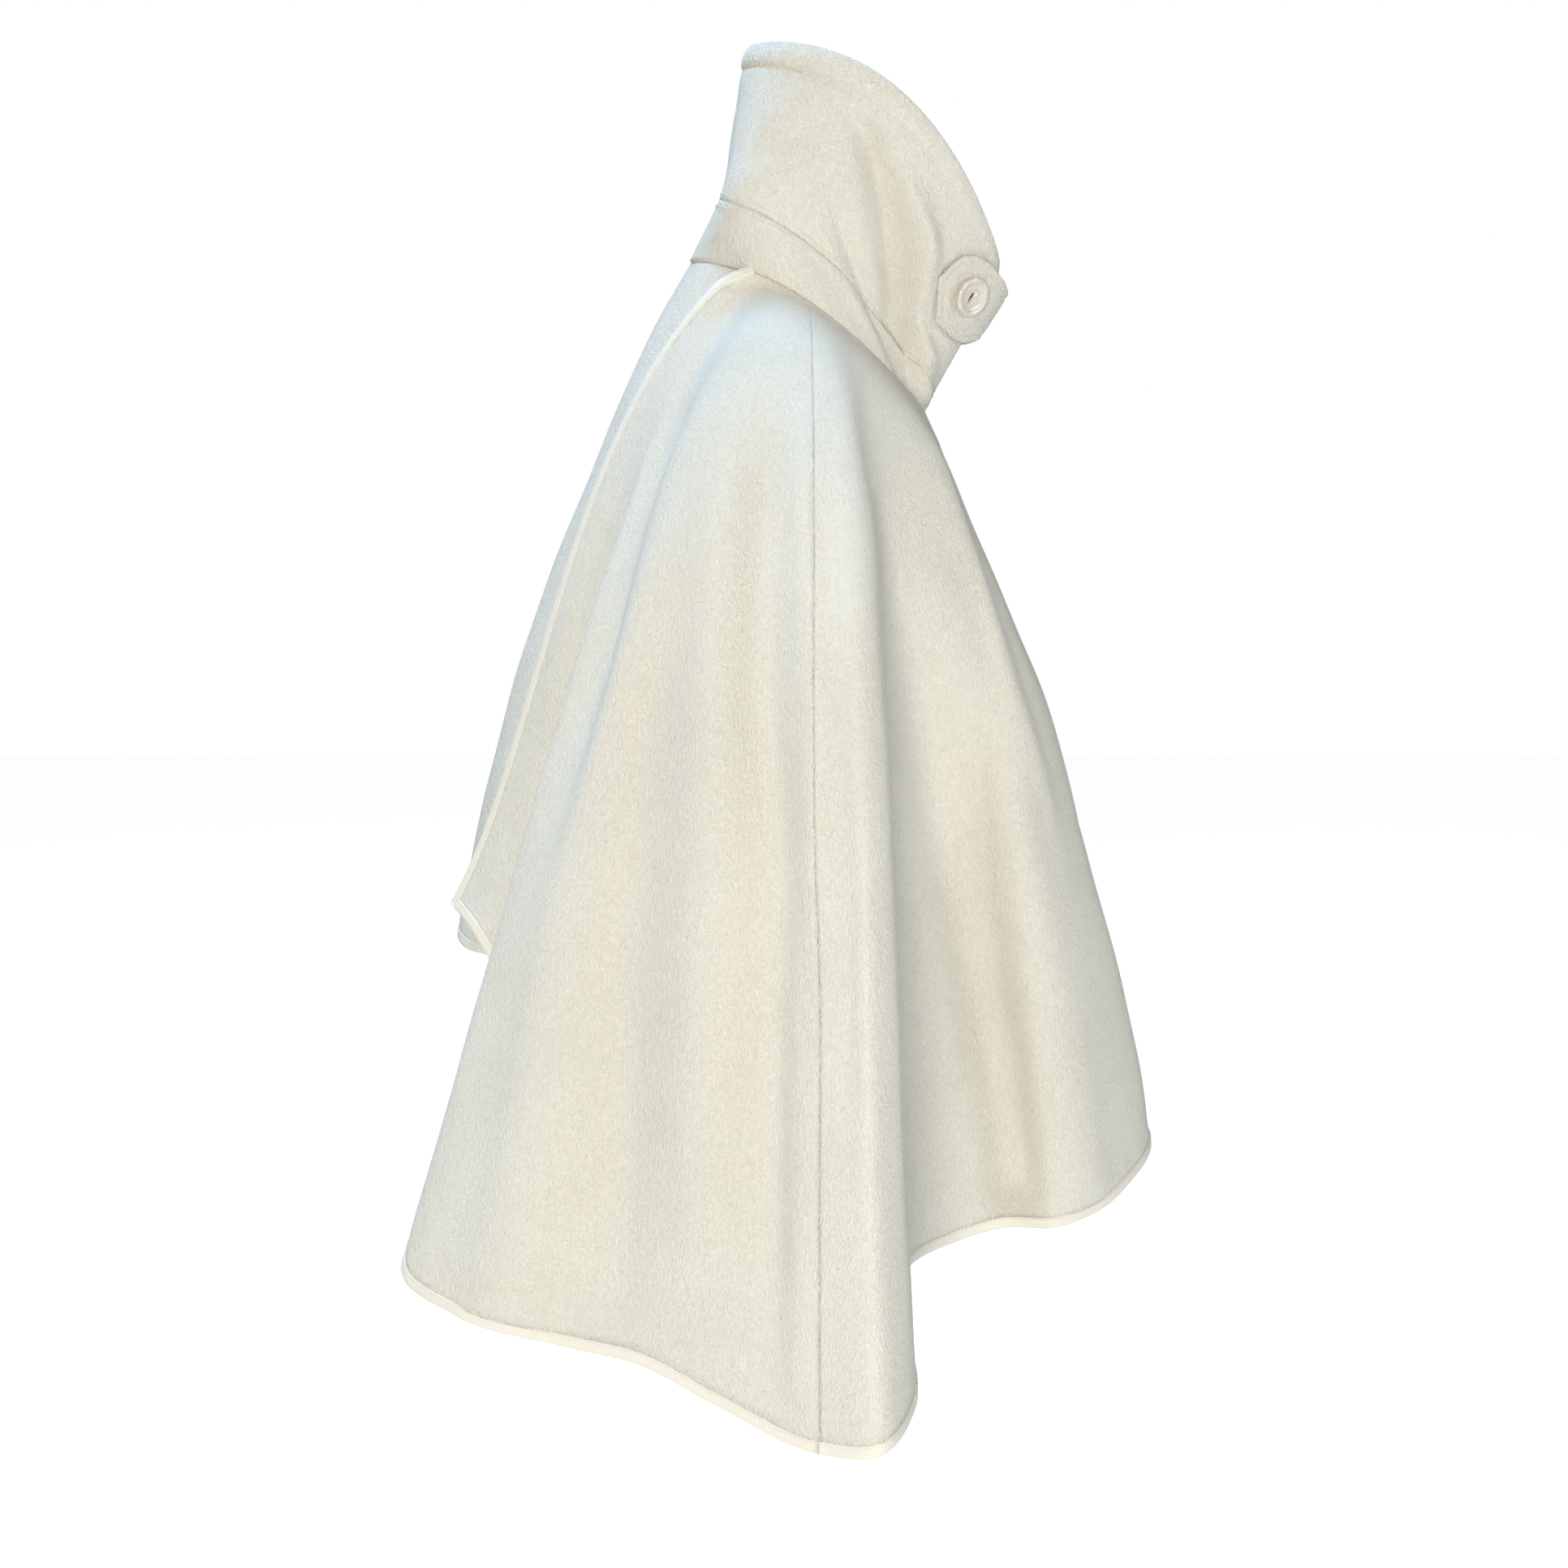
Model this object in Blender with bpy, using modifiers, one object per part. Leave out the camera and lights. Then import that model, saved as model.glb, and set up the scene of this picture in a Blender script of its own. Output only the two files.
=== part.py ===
"""A hip-length cape in napped wool with a tall standing collar, a throat tab and a button."""
import math

import bpy
import numpy as np
from mathutils import Matrix

# Sizes in metres. The origin is the middle of the neck seam, the wearer faces -Y and +Z is up.
CLOTH = 0.003
COLLAR_CLOTH = 0.005
SEAM_GAP = 0.0003
HEM_GAP = 0.0005
BINDING_WIDTH = 0.008
BINDING_PROUD = 0.0008
PROFILE_CELLS = 20
COLLAR_CELLS = 22
TAB_CLOTH = 0.0045
BUTTON_RADIUS = 0.015
BUTTON_THICKNESS = 0.0042
BUTTON_REST = 0.0016
BUTTON_SIDES = 28
# The button's profile from the middle of its face over the rim to the middle of its back, as parts
# of its radius and of its thickness
BUTTON_PROFILE = ((0, 0.60), (0.66, 0.72), (0.82, 1.0), (0.95, 0.95), (1.0, 0.62), (0.93, 0.30), (0.72, 0), (0, 0))

# Rings of the neck and collar. Forward and height at the front and the back, reach, height and
# forward at the side, how much narrower the front is than the back, and the tilt of the rise.
RING_COLUMNS = ("up", "front_forward", "front_height", "back_forward", "back_height",
                "side_reach", "side_height", "side_forward", "taper", "tilt")
RINGS = {
    "neck_seam": (0.00, 0.0865, -0.0544, -0.0862, 0.0541, 0.0750, 0.0215, 0.0005, 0.00, -0.002),
    "band_top": (0.22, 0.0925, -0.0415, -0.0653, 0.0968, 0.0740, 0.0740, -0.0200, 0.05, 0.024),
    "collar_middle": (0.62, 0.1220, 0.0120, -0.0545, 0.1550, 0.0740, 0.1250, 0.0180, 0.10, 0.018),
    "collar_rim": (1.00, 0.1399, 0.0517, -0.0446, 0.2012, 0.0720, 0.1691, 0.0535, 0.12, 0.010),
}
BAND_TOP = 0.22

# The collar's wall, from the seam up: how far the face stands out and how thick the cloth is.
# The last rows are the rolled top edge.
COLLAR_WALL_COLUMNS = ("up", "outset", "thickness")
COLLAR_WALL = (
    (0.22, 0.0000, 0.0050),
    (0.36, 0.0000, 0.0050),
    (0.50, 0.0000, 0.0050),
    (0.64, 0.0000, 0.0050),
    (0.77, 0.0000, 0.0050),
    (0.88, 0.0000, 0.0052),
    (0.93, 0.0010, 0.0072),
    (0.975, 0.0014, 0.0080),
    (1.00, -0.0018, 0.0042),
)

# One row for each fold line of the body, from the centre front round the wearer's right side.
# turn: where it leaves the neck seam, in degrees from the front. forward, side, height: where it
# meets the hem. cells: how many mesh cells lie between this fold and the one before it.
FOLD_COLUMNS = ("turn", "forward", "side", "height", "cells")
CENTRE_FRONT = (0, 0.267, 0.0, -0.6110, 0)
FOLDS = {
    "front_round": (12, 0.260, 0.050, -0.6105, 2),
    "front_ridge": (22, 0.240, 0.093, -0.6155, 2),
    "front_plain": (33, 0.207, 0.137, -0.6235, 2),
    "front_fold": (42, 0.175, 0.155, -0.6275, 2),
    "front_valley": (50, 0.142, 0.141, -0.6330, 2),
    "front_side": (58, 0.106, 0.157, -0.6370, 2),
    "arm_valley": (66, 0.070, 0.191, -0.6420, 2),
    "arm_wall": (72, 0.063, 0.255, -0.6560, 3),
    "arm_ridge_front": (79, 0.0645, 0.342, -0.6750, 3),
    "arm_ridge": (84, 0.0385, 0.392, -0.6805, 4),
    "side_seam": (90.5, 0.0045, 0.372, -0.6885, 2),
    "arm_slope": (96, -0.062, 0.326, -0.6785, 2),
    "arm_hollow": (100, -0.112, 0.297, -0.6650, 2),
    "arm_plain": (104, -0.160, 0.273, -0.6640, 2),
    "back_arm": (111, -0.239, 0.243, -0.6550, 3),
    "back_ridge": (117, -0.283, 0.193, -0.6370, 4),
    "back_turn": (119.5, -0.249, 0.161, -0.5940, 4),
    "valley_wall": (121, -0.217, 0.141, -0.5560, 3),
    "back_valley": (122.5, -0.207, 0.118, -0.5140, 2),
}
# The right back panel ends in a free edge that lies over the left one
RIGHT_LAP = {
    "valley_rise": (124, -0.221, 0.097, -0.4700, 2),
    "back_rise": (125.5, -0.244, 0.078, -0.4330, 2),
    "back_edge": (128, -0.2663, 0.050, -0.4140, 2),
}
# The left back panel crosses the centre and ends under the right one
LEFT_LAP = {
    "left_valley": (-127, -0.221, -0.097, -0.4830, 2),
    "left_rise": (-133, -0.246, -0.074, -0.4620, 2),
    "left_back": (-152, -0.2630, -0.040, -0.4520, 2),
    "centre_back": (-180, -0.2680, 0.0, -0.4500, 2),
    "under_back": (-210, -0.2635, 0.028, -0.4495, 2),
    "under_line": (-232, -0.2545, 0.052, -0.4490, 2),
    "under_edge": (-240, -0.2290, 0.082, -0.4470, 2),
}

# How a fold line falls: its slope below the horizontal at the neck, how far it keeps that slope,
# its slope from the vertical at the hem, how far it keeps that, and how far it lies under the lap.
FALL_COLUMNS = ("leave", "leave_reach", "flare", "hem_reach", "inset")
FALL_FRONT = (67, 0.186, 7, 0.202, 0)
FALL_SIDE = (19, 0.175, 14, 0.36, 0)
FALL_BACK = (62, 0.168, 9, 0.165, 0)
FALLS = {
    "back_arm": (44, 0.200, 20, 0.280, 0),
    "back_ridge": (50, 0.215, 20, 0.255, 0),
    "back_turn": (49, 0.200, 20, 0.230, 0),
    "back_valley": (47, 0.185, 20, 0.200, 0),
    "valley_wall": (48, 0.190, 20, 0.210, 0),
    "valley_rise": (46, 0.180, 22, 0.175, 0),
    "back_rise": (43, 0.170, 26, 0.150, 0),
    "back_edge": (40, 0.161, 30.5, 0.133, 0),
    "left_valley": (50, 0.175, 18, 0.180, 0),
    "left_rise": (53, 0.168, 15, 0.170, 0),
    "left_back": (59, 0.168, 11, 0.165, 0),
    "under_back": (58, 0.168, 12, 0.160, 0.0036),
    "under_line": (47, 0.158, 20, 0.150, 0.0052),
    "under_edge": (50, 0.152, 22, 0.150, 0.0060),
}
# Folds fade out between these parts of the way down from the neck
FOLD_START = 0.05
FOLD_END = 0.62
CALM_SPREAD = 0.085
CALM_TABLE = ((-1.0, 0.25), (-0.72, 0.6), (-0.45, 0.9), (-0.2, 1.0), (0.0, 1.0),
              (0.2, 1.0), (0.45, 0.9), (0.72, 0.6), (1.0, 0.25))
BUST_SWELL = 0.0045

# The throat tab, from its button end to the centre front: its lower and its upper corner as degrees
# round the collar and part of the collar's height, and how far each stands off the collar.
TAB_COLUMNS = ("low_turn", "low_up", "low_off", "high_turn", "high_up", "high_off")
TAB = (
    (28.5, 0.430, 0.0006, 38.0, 0.550, 0.0006),
    (23.0, 0.442, 0.0006, 37.0, 0.650, 0.0006),
    (17.0, 0.458, 0.0008, 35.0, 0.735, 0.0006),
    (11.5, 0.482, 0.0014, 30.5, 0.810, 0.0010),
    (6.5, 0.510, 0.0028, 22.0, 0.872, 0.0030),
    (2.8, 0.532, 0.0044, 11.0, 0.880, 0.0072),
    (0.0, 0.545, 0.0055, 0.0, 0.850, 0.0105),
)
BUTTON_AT = (23.8, 0.635)


def ring_point(ring, turn):
    """Points of one ring at the given angles from the front."""
    front_forward, front_height, back_forward, back_height = ring[0], ring[1], ring[2], ring[3]
    reach, side_height, side_forward, taper, tilt = ring[4], ring[5], ring[6], ring[7], ring[8]
    cosine = np.cos(turn)
    sine = np.sin(turn)
    middle_forward = (front_forward + back_forward) / 2
    middle_height = (front_height + back_height) / 2
    forward = middle_forward + (front_forward - back_forward) / 2 * cosine
    forward = forward + (side_forward - middle_forward) * sine * sine
    height = middle_height + (front_height - back_height) / 2 * cosine
    height = height + (side_height - middle_height) * sine * sine + tilt * cosine * sine * sine
    side = reach * sine * (1 - taper * cosine)
    return np.stack([-side, -forward, height], -1)


def slopes(places, values):
    """Slopes for a smooth curve through a table of values."""
    steps = np.diff(places)
    rates = np.diff(values, axis=0) / steps[:, None]
    result = np.empty_like(values)
    result[0] = rates[0]
    result[-1] = rates[-1]
    before = steps[:-1, None]
    after = steps[1:, None]
    result[1:-1] = (rates[:-1] * after + rates[1:] * before) / (before + after)
    return result


def smooth_between(places, values, rates, at):
    """Values of the smooth curve through a table, at any places."""
    at = np.asarray(at, float)
    index = np.clip(np.searchsorted(places, at, side="right") - 1, 0, len(places) - 2)
    step = (places[index + 1] - places[index])[..., None]
    part = (at[..., None] - places[index][..., None]) / step
    square = part * part
    cube = square * part
    result = (2 * cube - 3 * square + 1) * values[index]
    result = result + (cube - 2 * square + part) * step * rates[index]
    result = result + (3 * square - 2 * cube) * values[index + 1]
    return result + (cube - square) * step * rates[index + 1]


RING_TABLE = np.array([RINGS[name] for name in RINGS], float)
RING_SLOPES = slopes(RING_TABLE[:, 0], RING_TABLE[:, 1:])


def collar_point(turn, up):
    """Points of the collar's face: turn in degrees from the front, up from the neck seam to 1."""
    turn, up = np.broadcast_arrays(np.asarray(turn, float), np.asarray(up, float))
    ring = smooth_between(RING_TABLE[:, 0], RING_TABLE[:, 1:], RING_SLOPES, up)
    ring = np.moveaxis(ring, -1, 0)
    return ring_point(ring, np.radians(turn))


def seam_out(turn):
    """The direction that splits the bend between the body and the collar at the neck seam."""
    radians = np.radians(turn)
    sine = np.sin(radians)
    cosine = np.cos(radians)
    lean = np.radians(13.5 - 14.5 * cosine + 22.5 * sine * sine)
    across = np.stack([-sine * 0.0865, -cosine * 0.0750], -1)
    across = across / np.linalg.norm(across, axis=-1, keepdims=True)
    return np.concatenate([across * np.cos(lean)[..., None], np.sin(lean)[..., None]], -1)


def fall_of(name, turn):
    """The fall row of one fold line, mixed from the front, side and back rows if it has none."""
    if name in FALLS:
        return FALLS[name]
    radians = math.radians(turn)
    weight = math.sin(radians) ** 2
    end = FALL_FRONT if math.cos(radians) > 0 else FALL_BACK
    return [weight * a + (1 - weight) * b for a, b in zip(FALL_SIDE, end)]


def fold_table():
    """All fold lines in order, from the left back's hidden edge round the front to the lap."""
    names = []
    rows = []
    cells = []
    for name, row in reversed(list(LEFT_LAP.items())):
        names.append(name)
        rows.append(list(row[:4]) + list(fall_of(name, row[0])))
        cells.append(row[4])
    left_folds = list(reversed(list(FOLDS.items())))
    for position, (name, row) in enumerate(left_folds):
        names.append("left_" + name)
        rows.append([-row[0], row[1], -row[2], row[3]] + list(fall_of(name, row[0])))
        cells.append(2 if position == 0 else left_folds[position - 1][1][4])
    names.append("centre_front")
    rows.append(list(CENTRE_FRONT[:4]) + list(fall_of("centre_front", 0)))
    cells.append(FOLDS["front_round"][4])
    for name, row in list(FOLDS.items()) + list(RIGHT_LAP.items()):
        names.append(name)
        rows.append(list(row[:4]) + list(fall_of(name, row[0])))
        cells.append(row[4])
    return names, np.array(rows, float), cells


FOLD_NAMES, FOLD_TABLE, FOLD_CELLS = fold_table()
FOLD_PLACES = np.concatenate([[0.0], np.cumsum(np.linalg.norm(np.diff(FOLD_TABLE[:, 1:3], axis=0), axis=1))])
FOLD_SLOPES = slopes(FOLD_PLACES, FOLD_TABLE)


def place_of(name):
    """How far along the hem a fold line lies."""
    return float(FOLD_PLACES[FOLD_NAMES.index(name)])


def fold_values(around):
    return smooth_between(FOLD_PLACES, FOLD_TABLE, FOLD_SLOPES, around)


def body_point(around, down):
    """Points of the body's outer face: around along the hem, down from the neck (0) to the hem (1)."""
    around, down = np.broadcast_arrays(np.asarray(around, float), np.asarray(down, float))
    room = np.minimum(CALM_SPREAD, np.minimum(around - FOLD_PLACES[0], FOLD_PLACES[-1] - around))
    room = np.maximum(room, 0)
    calm = 0
    total = 0
    for step, weight in CALM_TABLE:
        calm = calm + weight * fold_values(around + step * room)
        total += weight
    calm = calm / total
    part = np.clip((down - FOLD_START) / (FOLD_END - FOLD_START), 0, 1)
    folded = (part * part * (3 - 2 * part))[..., None]
    values = calm * (1 - folded) + fold_values(around) * folded
    turn = values[..., 0]
    neck = ring_point(RING_TABLE[0, 1:], np.radians(turn)) - values[..., 8:9] * seam_out(turn)
    hem = np.stack([-values[..., 2], -values[..., 1], values[..., 3]], -1)
    across = hem - neck
    across[..., 2] = 0
    across = across / np.linalg.norm(across, axis=-1, keepdims=True)
    upward = np.array([0.0, 0.0, 1.0])
    leave = np.radians(values[..., 4:5])
    flare = np.radians(values[..., 6:7])
    first = neck + values[..., 5:6] * (across * np.cos(leave) - upward * np.sin(leave))
    second = hem + values[..., 7:8] * (upward * np.cos(flare) - across * np.sin(flare))
    t = down[..., None]
    points = (1 - t) ** 3 * neck + 3 * (1 - t) ** 2 * t * first + 3 * (1 - t) * t * t * second + t ** 3 * hem
    swell = np.where((down > 0.05) & (down < 0.57), np.sin(2 * math.pi * (down - 0.05) / 0.52), 0)
    points[..., 1] += swell * BUST_SWELL * np.clip(np.cos(np.radians(turn)), 0, 1) ** 2
    return points


def unit(vectors):
    return vectors / np.linalg.norm(vectors, axis=-1, keepdims=True)


def body_axes(around, down):
    """Unit directions round, down and out of the body's face, and its size per unit each way."""
    step = 0.0015
    around, down = np.broadcast_arrays(np.asarray(around, float), np.asarray(down, float))
    ahead = np.minimum(around + step, FOLD_PLACES[-1])
    behind = np.maximum(around - step, FOLD_PLACES[0])
    round_way = (body_point(ahead, down) - body_point(behind, down)) / (ahead - behind)[..., None]
    lower = np.minimum(down + step, 1)
    higher = np.maximum(down - step, 0)
    down_way = (body_point(around, lower) - body_point(around, higher)) / (lower - higher)[..., None]
    out = unit(np.cross(round_way, down_way))
    return round_way, down_way, out


def new_material(name, colour, roughness):
    material = bpy.data.materials.new(name)
    material.use_nodes = True
    shader = material.node_tree.nodes["Principled BSDF"]
    shader.inputs["Base Color"].default_value = (colour[0], colour[1], colour[2], 1)
    shader.inputs["Roughness"].default_value = roughness
    material.diffuse_color = (colour[0], colour[1], colour[2], 1)
    return material


def add_mesh(name, points, faces, material):
    mesh = bpy.data.meshes.new(name)
    mesh.from_pydata([tuple(float(c) for c in point) for point in points], [], faces)
    mesh.validate()
    item = bpy.data.objects.new(name, mesh)
    mesh.materials.append(material)
    garment.objects.link(item)
    return item


def split(a, b, c, d):
    """Two triangles from a four-cornered face, cut from its first corner."""
    return [(a, b, c), (a, c, d)]


def wall(name, outer, inner, material):
    """A closed sheet between two grids of points."""
    columns, rows = outer.shape[:2]
    count = columns * rows
    points = np.concatenate([outer.reshape(-1, 3), inner.reshape(-1, 3)])
    faces = []
    for i in range(columns - 1):
        for j in range(rows - 1):
            a = i * rows + j
            b = (i + 1) * rows + j
            faces += split(a, b, b + 1, a + 1)
            faces += split(a + count, a + 1 + count, b + 1 + count, b + count)
    for i in range(columns - 1):
        a = i * rows
        b = (i + 1) * rows
        faces += split(a, a + count, b + count, b)
        a = i * rows + rows - 1
        b = (i + 1) * rows + rows - 1
        faces += split(a, b, b + count, a + count)
    for j in range(rows - 1):
        a = j
        faces += split(a, a + 1, a + 1 + count, a + count)
        a = (columns - 1) * rows + j
        faces += split(a, a + count, a + 1 + count, a + 1)
    return add_mesh(name, points, faces, material)


def strip(name, rings, outer_first, material):
    """A closed bar through rings of points, capped at both ends."""
    rings = np.asarray(rings)
    count, sides = rings.shape[:2]
    faces = []
    for i in range(count - 1):
        for k in range(sides):
            a = i * sides + k
            b = i * sides + (k + 1) % sides
            if outer_first:
                faces += split(b, b + sides, a + sides, a)
            else:
                faces += split(a, b, b + sides, a + sides)
    faces.append(tuple(reversed(range(sides))))
    faces.append(tuple((count - 1) * sides + k for k in range(sides)))
    return add_mesh(name, rings.reshape(-1, 3), faces, material)


def columns_between(first, last):
    """Places round the body for the mesh columns from one fold line to another."""
    start = FOLD_NAMES.index(first)
    end = FOLD_NAMES.index(last)
    places = [FOLD_PLACES[start]]
    for k in range(start + 1, end + 1):
        cells = max(1, FOLD_CELLS[k])
        for c in range(1, cells + 1):
            places.append(FOLD_PLACES[k - 1] + (FOLD_PLACES[k] - FOLD_PLACES[k - 1]) * c / cells)
    return np.array(places)


def trimmed_shift(around, down, width):
    """How far to move round the body so that the face is left by a width in metres."""
    round_way, _, _ = body_axes(around, down)
    shift = width / np.linalg.norm(round_way, axis=-1)
    start = body_point(around, down)
    for _ in range(16):
        reached = np.linalg.norm(body_point(around + shift, down) - start, axis=-1)
        shift = shift * (abs(width) / reached) ** 0.6
    return shift


def panel_rows(places):
    """Parts of the way down for a panel's mesh rows, from the neck seam to the hem tape."""
    _, hem_way, _ = body_axes(places, 1.0)
    _, neck_way, _ = body_axes(places, 0.0)
    top = 0.9 * SEAM_GAP / np.linalg.norm(neck_way, axis=-1)
    bottom = 1 - (BINDING_WIDTH + SEAM_GAP) / np.linalg.norm(hem_way, axis=-1)
    part = np.linspace(0, 1, PROFILE_CELLS + 1)
    return top[:, None] + (bottom - top)[:, None] * part[None, :]


def hem_square(places, width):
    """Steps round and down the body that leave the hem squarely by a width in metres."""
    round_way, down_way, out = body_axes(places, 1.0)
    along = unit(body_point(places + 0.001, 1.0) - body_point(places - 0.001, 1.0))
    square = unit(np.cross(along, out)) * width
    rows = np.stack([round_way, down_way, out], -1)
    steps = np.linalg.solve(rows, square[..., None])[..., 0]
    start = body_point(places, 1.0)
    for _ in range(16):
        reached = np.linalg.norm(body_point(places + steps[:, 0], 1 + steps[:, 1]) - start, axis=-1)
        steps = steps * ((width / reached) ** 0.6)[:, None]
    return steps[:, 0], steps[:, 1]


def panel_grid(first, last, first_trim, last_trim):
    """Places round and down the body for one panel's mesh, and the panel's own end places."""
    places = columns_between(first, last)
    share = (places - places[0]) / (places[-1] - places[0])
    down = panel_rows(places)
    around = np.repeat(places[:, None], PROFILE_CELLS + 1, axis=1)
    for end, trim, sign in ((0, first_trim, 1), (-1, last_trim, -1)):
        shift = trimmed_shift(np.full(PROFILE_CELLS + 1, places[end]), down[end], sign * trim)
        weight = (1 - share) if end == 0 else share
        around = around + weight[:, None] * shift[None, :]
    hem = around[:, -1].copy()
    level = hem_square(hem, BINDING_WIDTH + HEM_GAP)
    inside = np.minimum(1, 6 * share * (1 - share))
    ease = np.linspace(0, 1, PROFILE_CELLS + 1) ** 7
    around = around + (level[0] * inside)[:, None] * ease[None, :]
    down = down + (1 + level[1] - down[:, -1])[:, None] * ease[None, :]
    return around, down, places, hem


def body_panel(name, first, last, first_trim, last_trim, material):
    """One panel of the body between two fold lines, trimmed by a width at each side."""
    around, down, places, hem = panel_grid(first, last, first_trim, last_trim)
    outer = body_point(around, down)
    _, _, out = body_axes(around, down)
    out[:, 0] = seam_out(fold_turn(around[:, 0]))
    for end, trim in ((0, first_trim), (-1, last_trim)):
        if trim > CLOTH:
            out[end] = body_axes(places[end], down[end])[2]
            out[end, 0] = seam_out(fold_turn(places[end]))
    out[:, -1] = body_axes(hem, 1.0)[2]
    inner = outer - CLOTH * out
    return wall(name, outer, inner, material)


def fold_turn(around):
    """Degrees round the neck seam at places round the body, as the calmed folds give them."""
    room = np.minimum(CALM_SPREAD, np.minimum(around - FOLD_PLACES[0], FOLD_PLACES[-1] - around))
    room = np.maximum(room, 0)
    calm = 0
    total = 0
    for step, weight in CALM_TABLE:
        calm = calm + weight * fold_values(around + step * room)[..., 0]
        total += weight
    return calm / total


# Section of the folded tape: how far in from the cloth's edge, and how far out of its face
BINDING_SECTION = (
    (BINDING_WIDTH, BINDING_PROUD),
    (0.0016, BINDING_PROUD),
    (0.0003, -0.0002),
    (0.0003, -CLOTH + 0.0002),
    (0.0016, -CLOTH - BINDING_PROUD),
    (BINDING_WIDTH, -CLOTH - BINDING_PROUD),
)


def binding_rings(edge, inward, out):
    rings = []
    for point, way, normal in zip(edge, inward, out):
        rings.append([point + way * a + normal * b for a, b in BINDING_SECTION])
    return np.array(rings)


def hem_binding(name, first, last, first_trim, last_trim, material):
    """Folded tape along the hem between two fold lines."""
    around, down, _, hem = panel_grid(first, last, first_trim, last_trim)
    _, _, out = body_axes(hem, 1.0)
    edge = body_point(hem, 1.0)
    higher = body_point(around[:, -1], down[:, -1])
    rings = binding_rings(edge, unit(higher - edge), out)[:, ::-1]
    return strip(name, rings, False, material)


def edge_binding(name, fold, sign, material):
    """Folded tape down a free back edge, from the neck seam to the hem."""
    place = place_of(fold)
    down = np.append(panel_rows(np.array([place]))[0], 1.0)
    around = np.full_like(down, place)
    edge = body_point(around, down)
    farther = body_point(around + trimmed_shift(around, down, sign * BINDING_WIDTH), down)
    _, _, out = body_axes(around, down)
    out[0] = seam_out(fold_turn(np.array(place)))
    rings = binding_rings(edge, unit(farther - edge), out)
    if sign > 0:
        rings = rings[:, ::-1]
    return strip(name, rings, sign < 0, material)


def collar_axes(turn, up):
    step = 0.002
    turn, up = np.broadcast_arrays(np.asarray(turn, float), np.asarray(up, float))
    round_way = collar_point(turn + 0.5, up) - collar_point(turn - 0.5, up)
    higher = np.minimum(up + step, 1)
    lower = np.maximum(up - step, 0)
    up_way = (collar_point(turn, higher) - collar_point(turn, lower)) / (higher - lower)[..., None]
    out = unit(np.cross(up_way, round_way))
    return round_way * 57.2958, up_way, out


def collar_turns(gap):
    """Degrees round the collar from its right front end to its left one."""
    size = 0.06
    start = math.degrees(gap / 2 / size)
    part = np.linspace(0, 1, 2 * COLLAR_CELLS + 1)
    return start + (360 - 2 * start) * part


def collar_band(material):
    turns = collar_turns(0.0005)
    _, neck_way, _ = collar_axes(turns, 0.0)
    _, top_way, _ = collar_axes(turns, BAND_TOP)
    bottom = 0.9 * SEAM_GAP / np.linalg.norm(neck_way, axis=-1)
    top = BAND_TOP - SEAM_GAP / 2 / np.linalg.norm(top_way, axis=-1)
    part = np.linspace(0, 1, 4)
    up = bottom[:, None] + (top - bottom)[:, None] * part[None, :]
    turn = np.repeat(turns[:, None], 4, axis=1)
    outer = collar_point(turn, up)
    _, _, out = collar_axes(turn, up)
    out[:, 0] = seam_out(turns)
    inner = outer - COLLAR_CLOTH * out
    return wall("collar_band", outer[:, ::-1], inner[:, ::-1], material)


def standing_collar(material):
    turns = collar_turns(0.0005)
    table = np.array(COLLAR_WALL, float)
    _, seam_way, _ = collar_axes(turns, BAND_TOP)
    up = np.repeat(table[None, :, 0], len(turns), axis=0)
    up[:, 0] += SEAM_GAP / 2 / np.linalg.norm(seam_way, axis=-1)
    turn = np.repeat(turns[:, None], len(table), axis=1)
    _, _, out = collar_axes(turn, up)
    outer = collar_point(turn, up) + table[None, :, 1:2] * out
    inner = outer - table[None, :, 2:3] * out
    return wall("collar", outer[:, ::-1], inner[:, ::-1], material)


def tab_rows():
    """The tab's rows from its button end round the front to its sewn end."""
    rows = [list(row) for row in TAB]
    for row in reversed(TAB[:-1]):
        rows.append([-row[0], row[1], row[2], -row[3], row[4], row[5]])
    return np.array(rows, float)


def throat_tab(material):
    rows = tab_rows()
    parts = np.linspace(0, 1, 7)
    turn = rows[:, 0:1] + (rows[:, 3:4] - rows[:, 0:1]) * parts[None, :]
    up = rows[:, 1:2] + (rows[:, 4:5] - rows[:, 1:2]) * parts[None, :]
    off = rows[:, 2:3] + (rows[:, 5:6] - rows[:, 2:3]) * parts[None, :]
    _, _, out = collar_axes(turn, up)
    inner = collar_point(turn, up) + off[..., None] * out
    outer = inner + TAB_CLOTH * out
    return wall("collar_tab", outer, inner, material)


def button(material):
    """A dished coat button, turned from its profile and set square on the tab."""
    _, up_way, out = collar_axes(*BUTTON_AT)
    base = collar_point(*BUTTON_AT) + out * (BUTTON_REST + TAB_CLOTH)
    side_axis = unit(np.cross(up_way, out))
    up_axis = np.cross(out, side_axis)
    points = [(reach * BUTTON_RADIUS, 0, rise * BUTTON_THICKNESS) for reach, rise in BUTTON_PROFILE]
    mesh = bpy.data.meshes.new("button")
    mesh.from_pydata(points, [(k, k + 1) for k in range(len(points) - 1)], [])
    mesh.materials.append(material)
    item = bpy.data.objects.new("button", mesh)
    garment.objects.link(item)
    turned = item.modifiers.new("turned", "SCREW")
    turned.axis = "Z"
    turned.steps = BUTTON_SIDES
    turned.render_steps = BUTTON_SIDES
    turned.use_merge_vertices = True
    turned.merge_threshold = 0.0001
    item.matrix_world = Matrix((
        (side_axis[0], up_axis[0], out[0], base[0]),
        (side_axis[1], up_axis[1], out[1], base[1]),
        (side_axis[2], up_axis[2], out[2], base[2]),
        (0, 0, 0, 1),
    ))
    return item


for old in list(bpy.data.objects):
    bpy.data.objects.remove(old)
garment = bpy.data.collections.new("hip-length cape")
bpy.context.scene.collection.children.link(garment)

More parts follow.
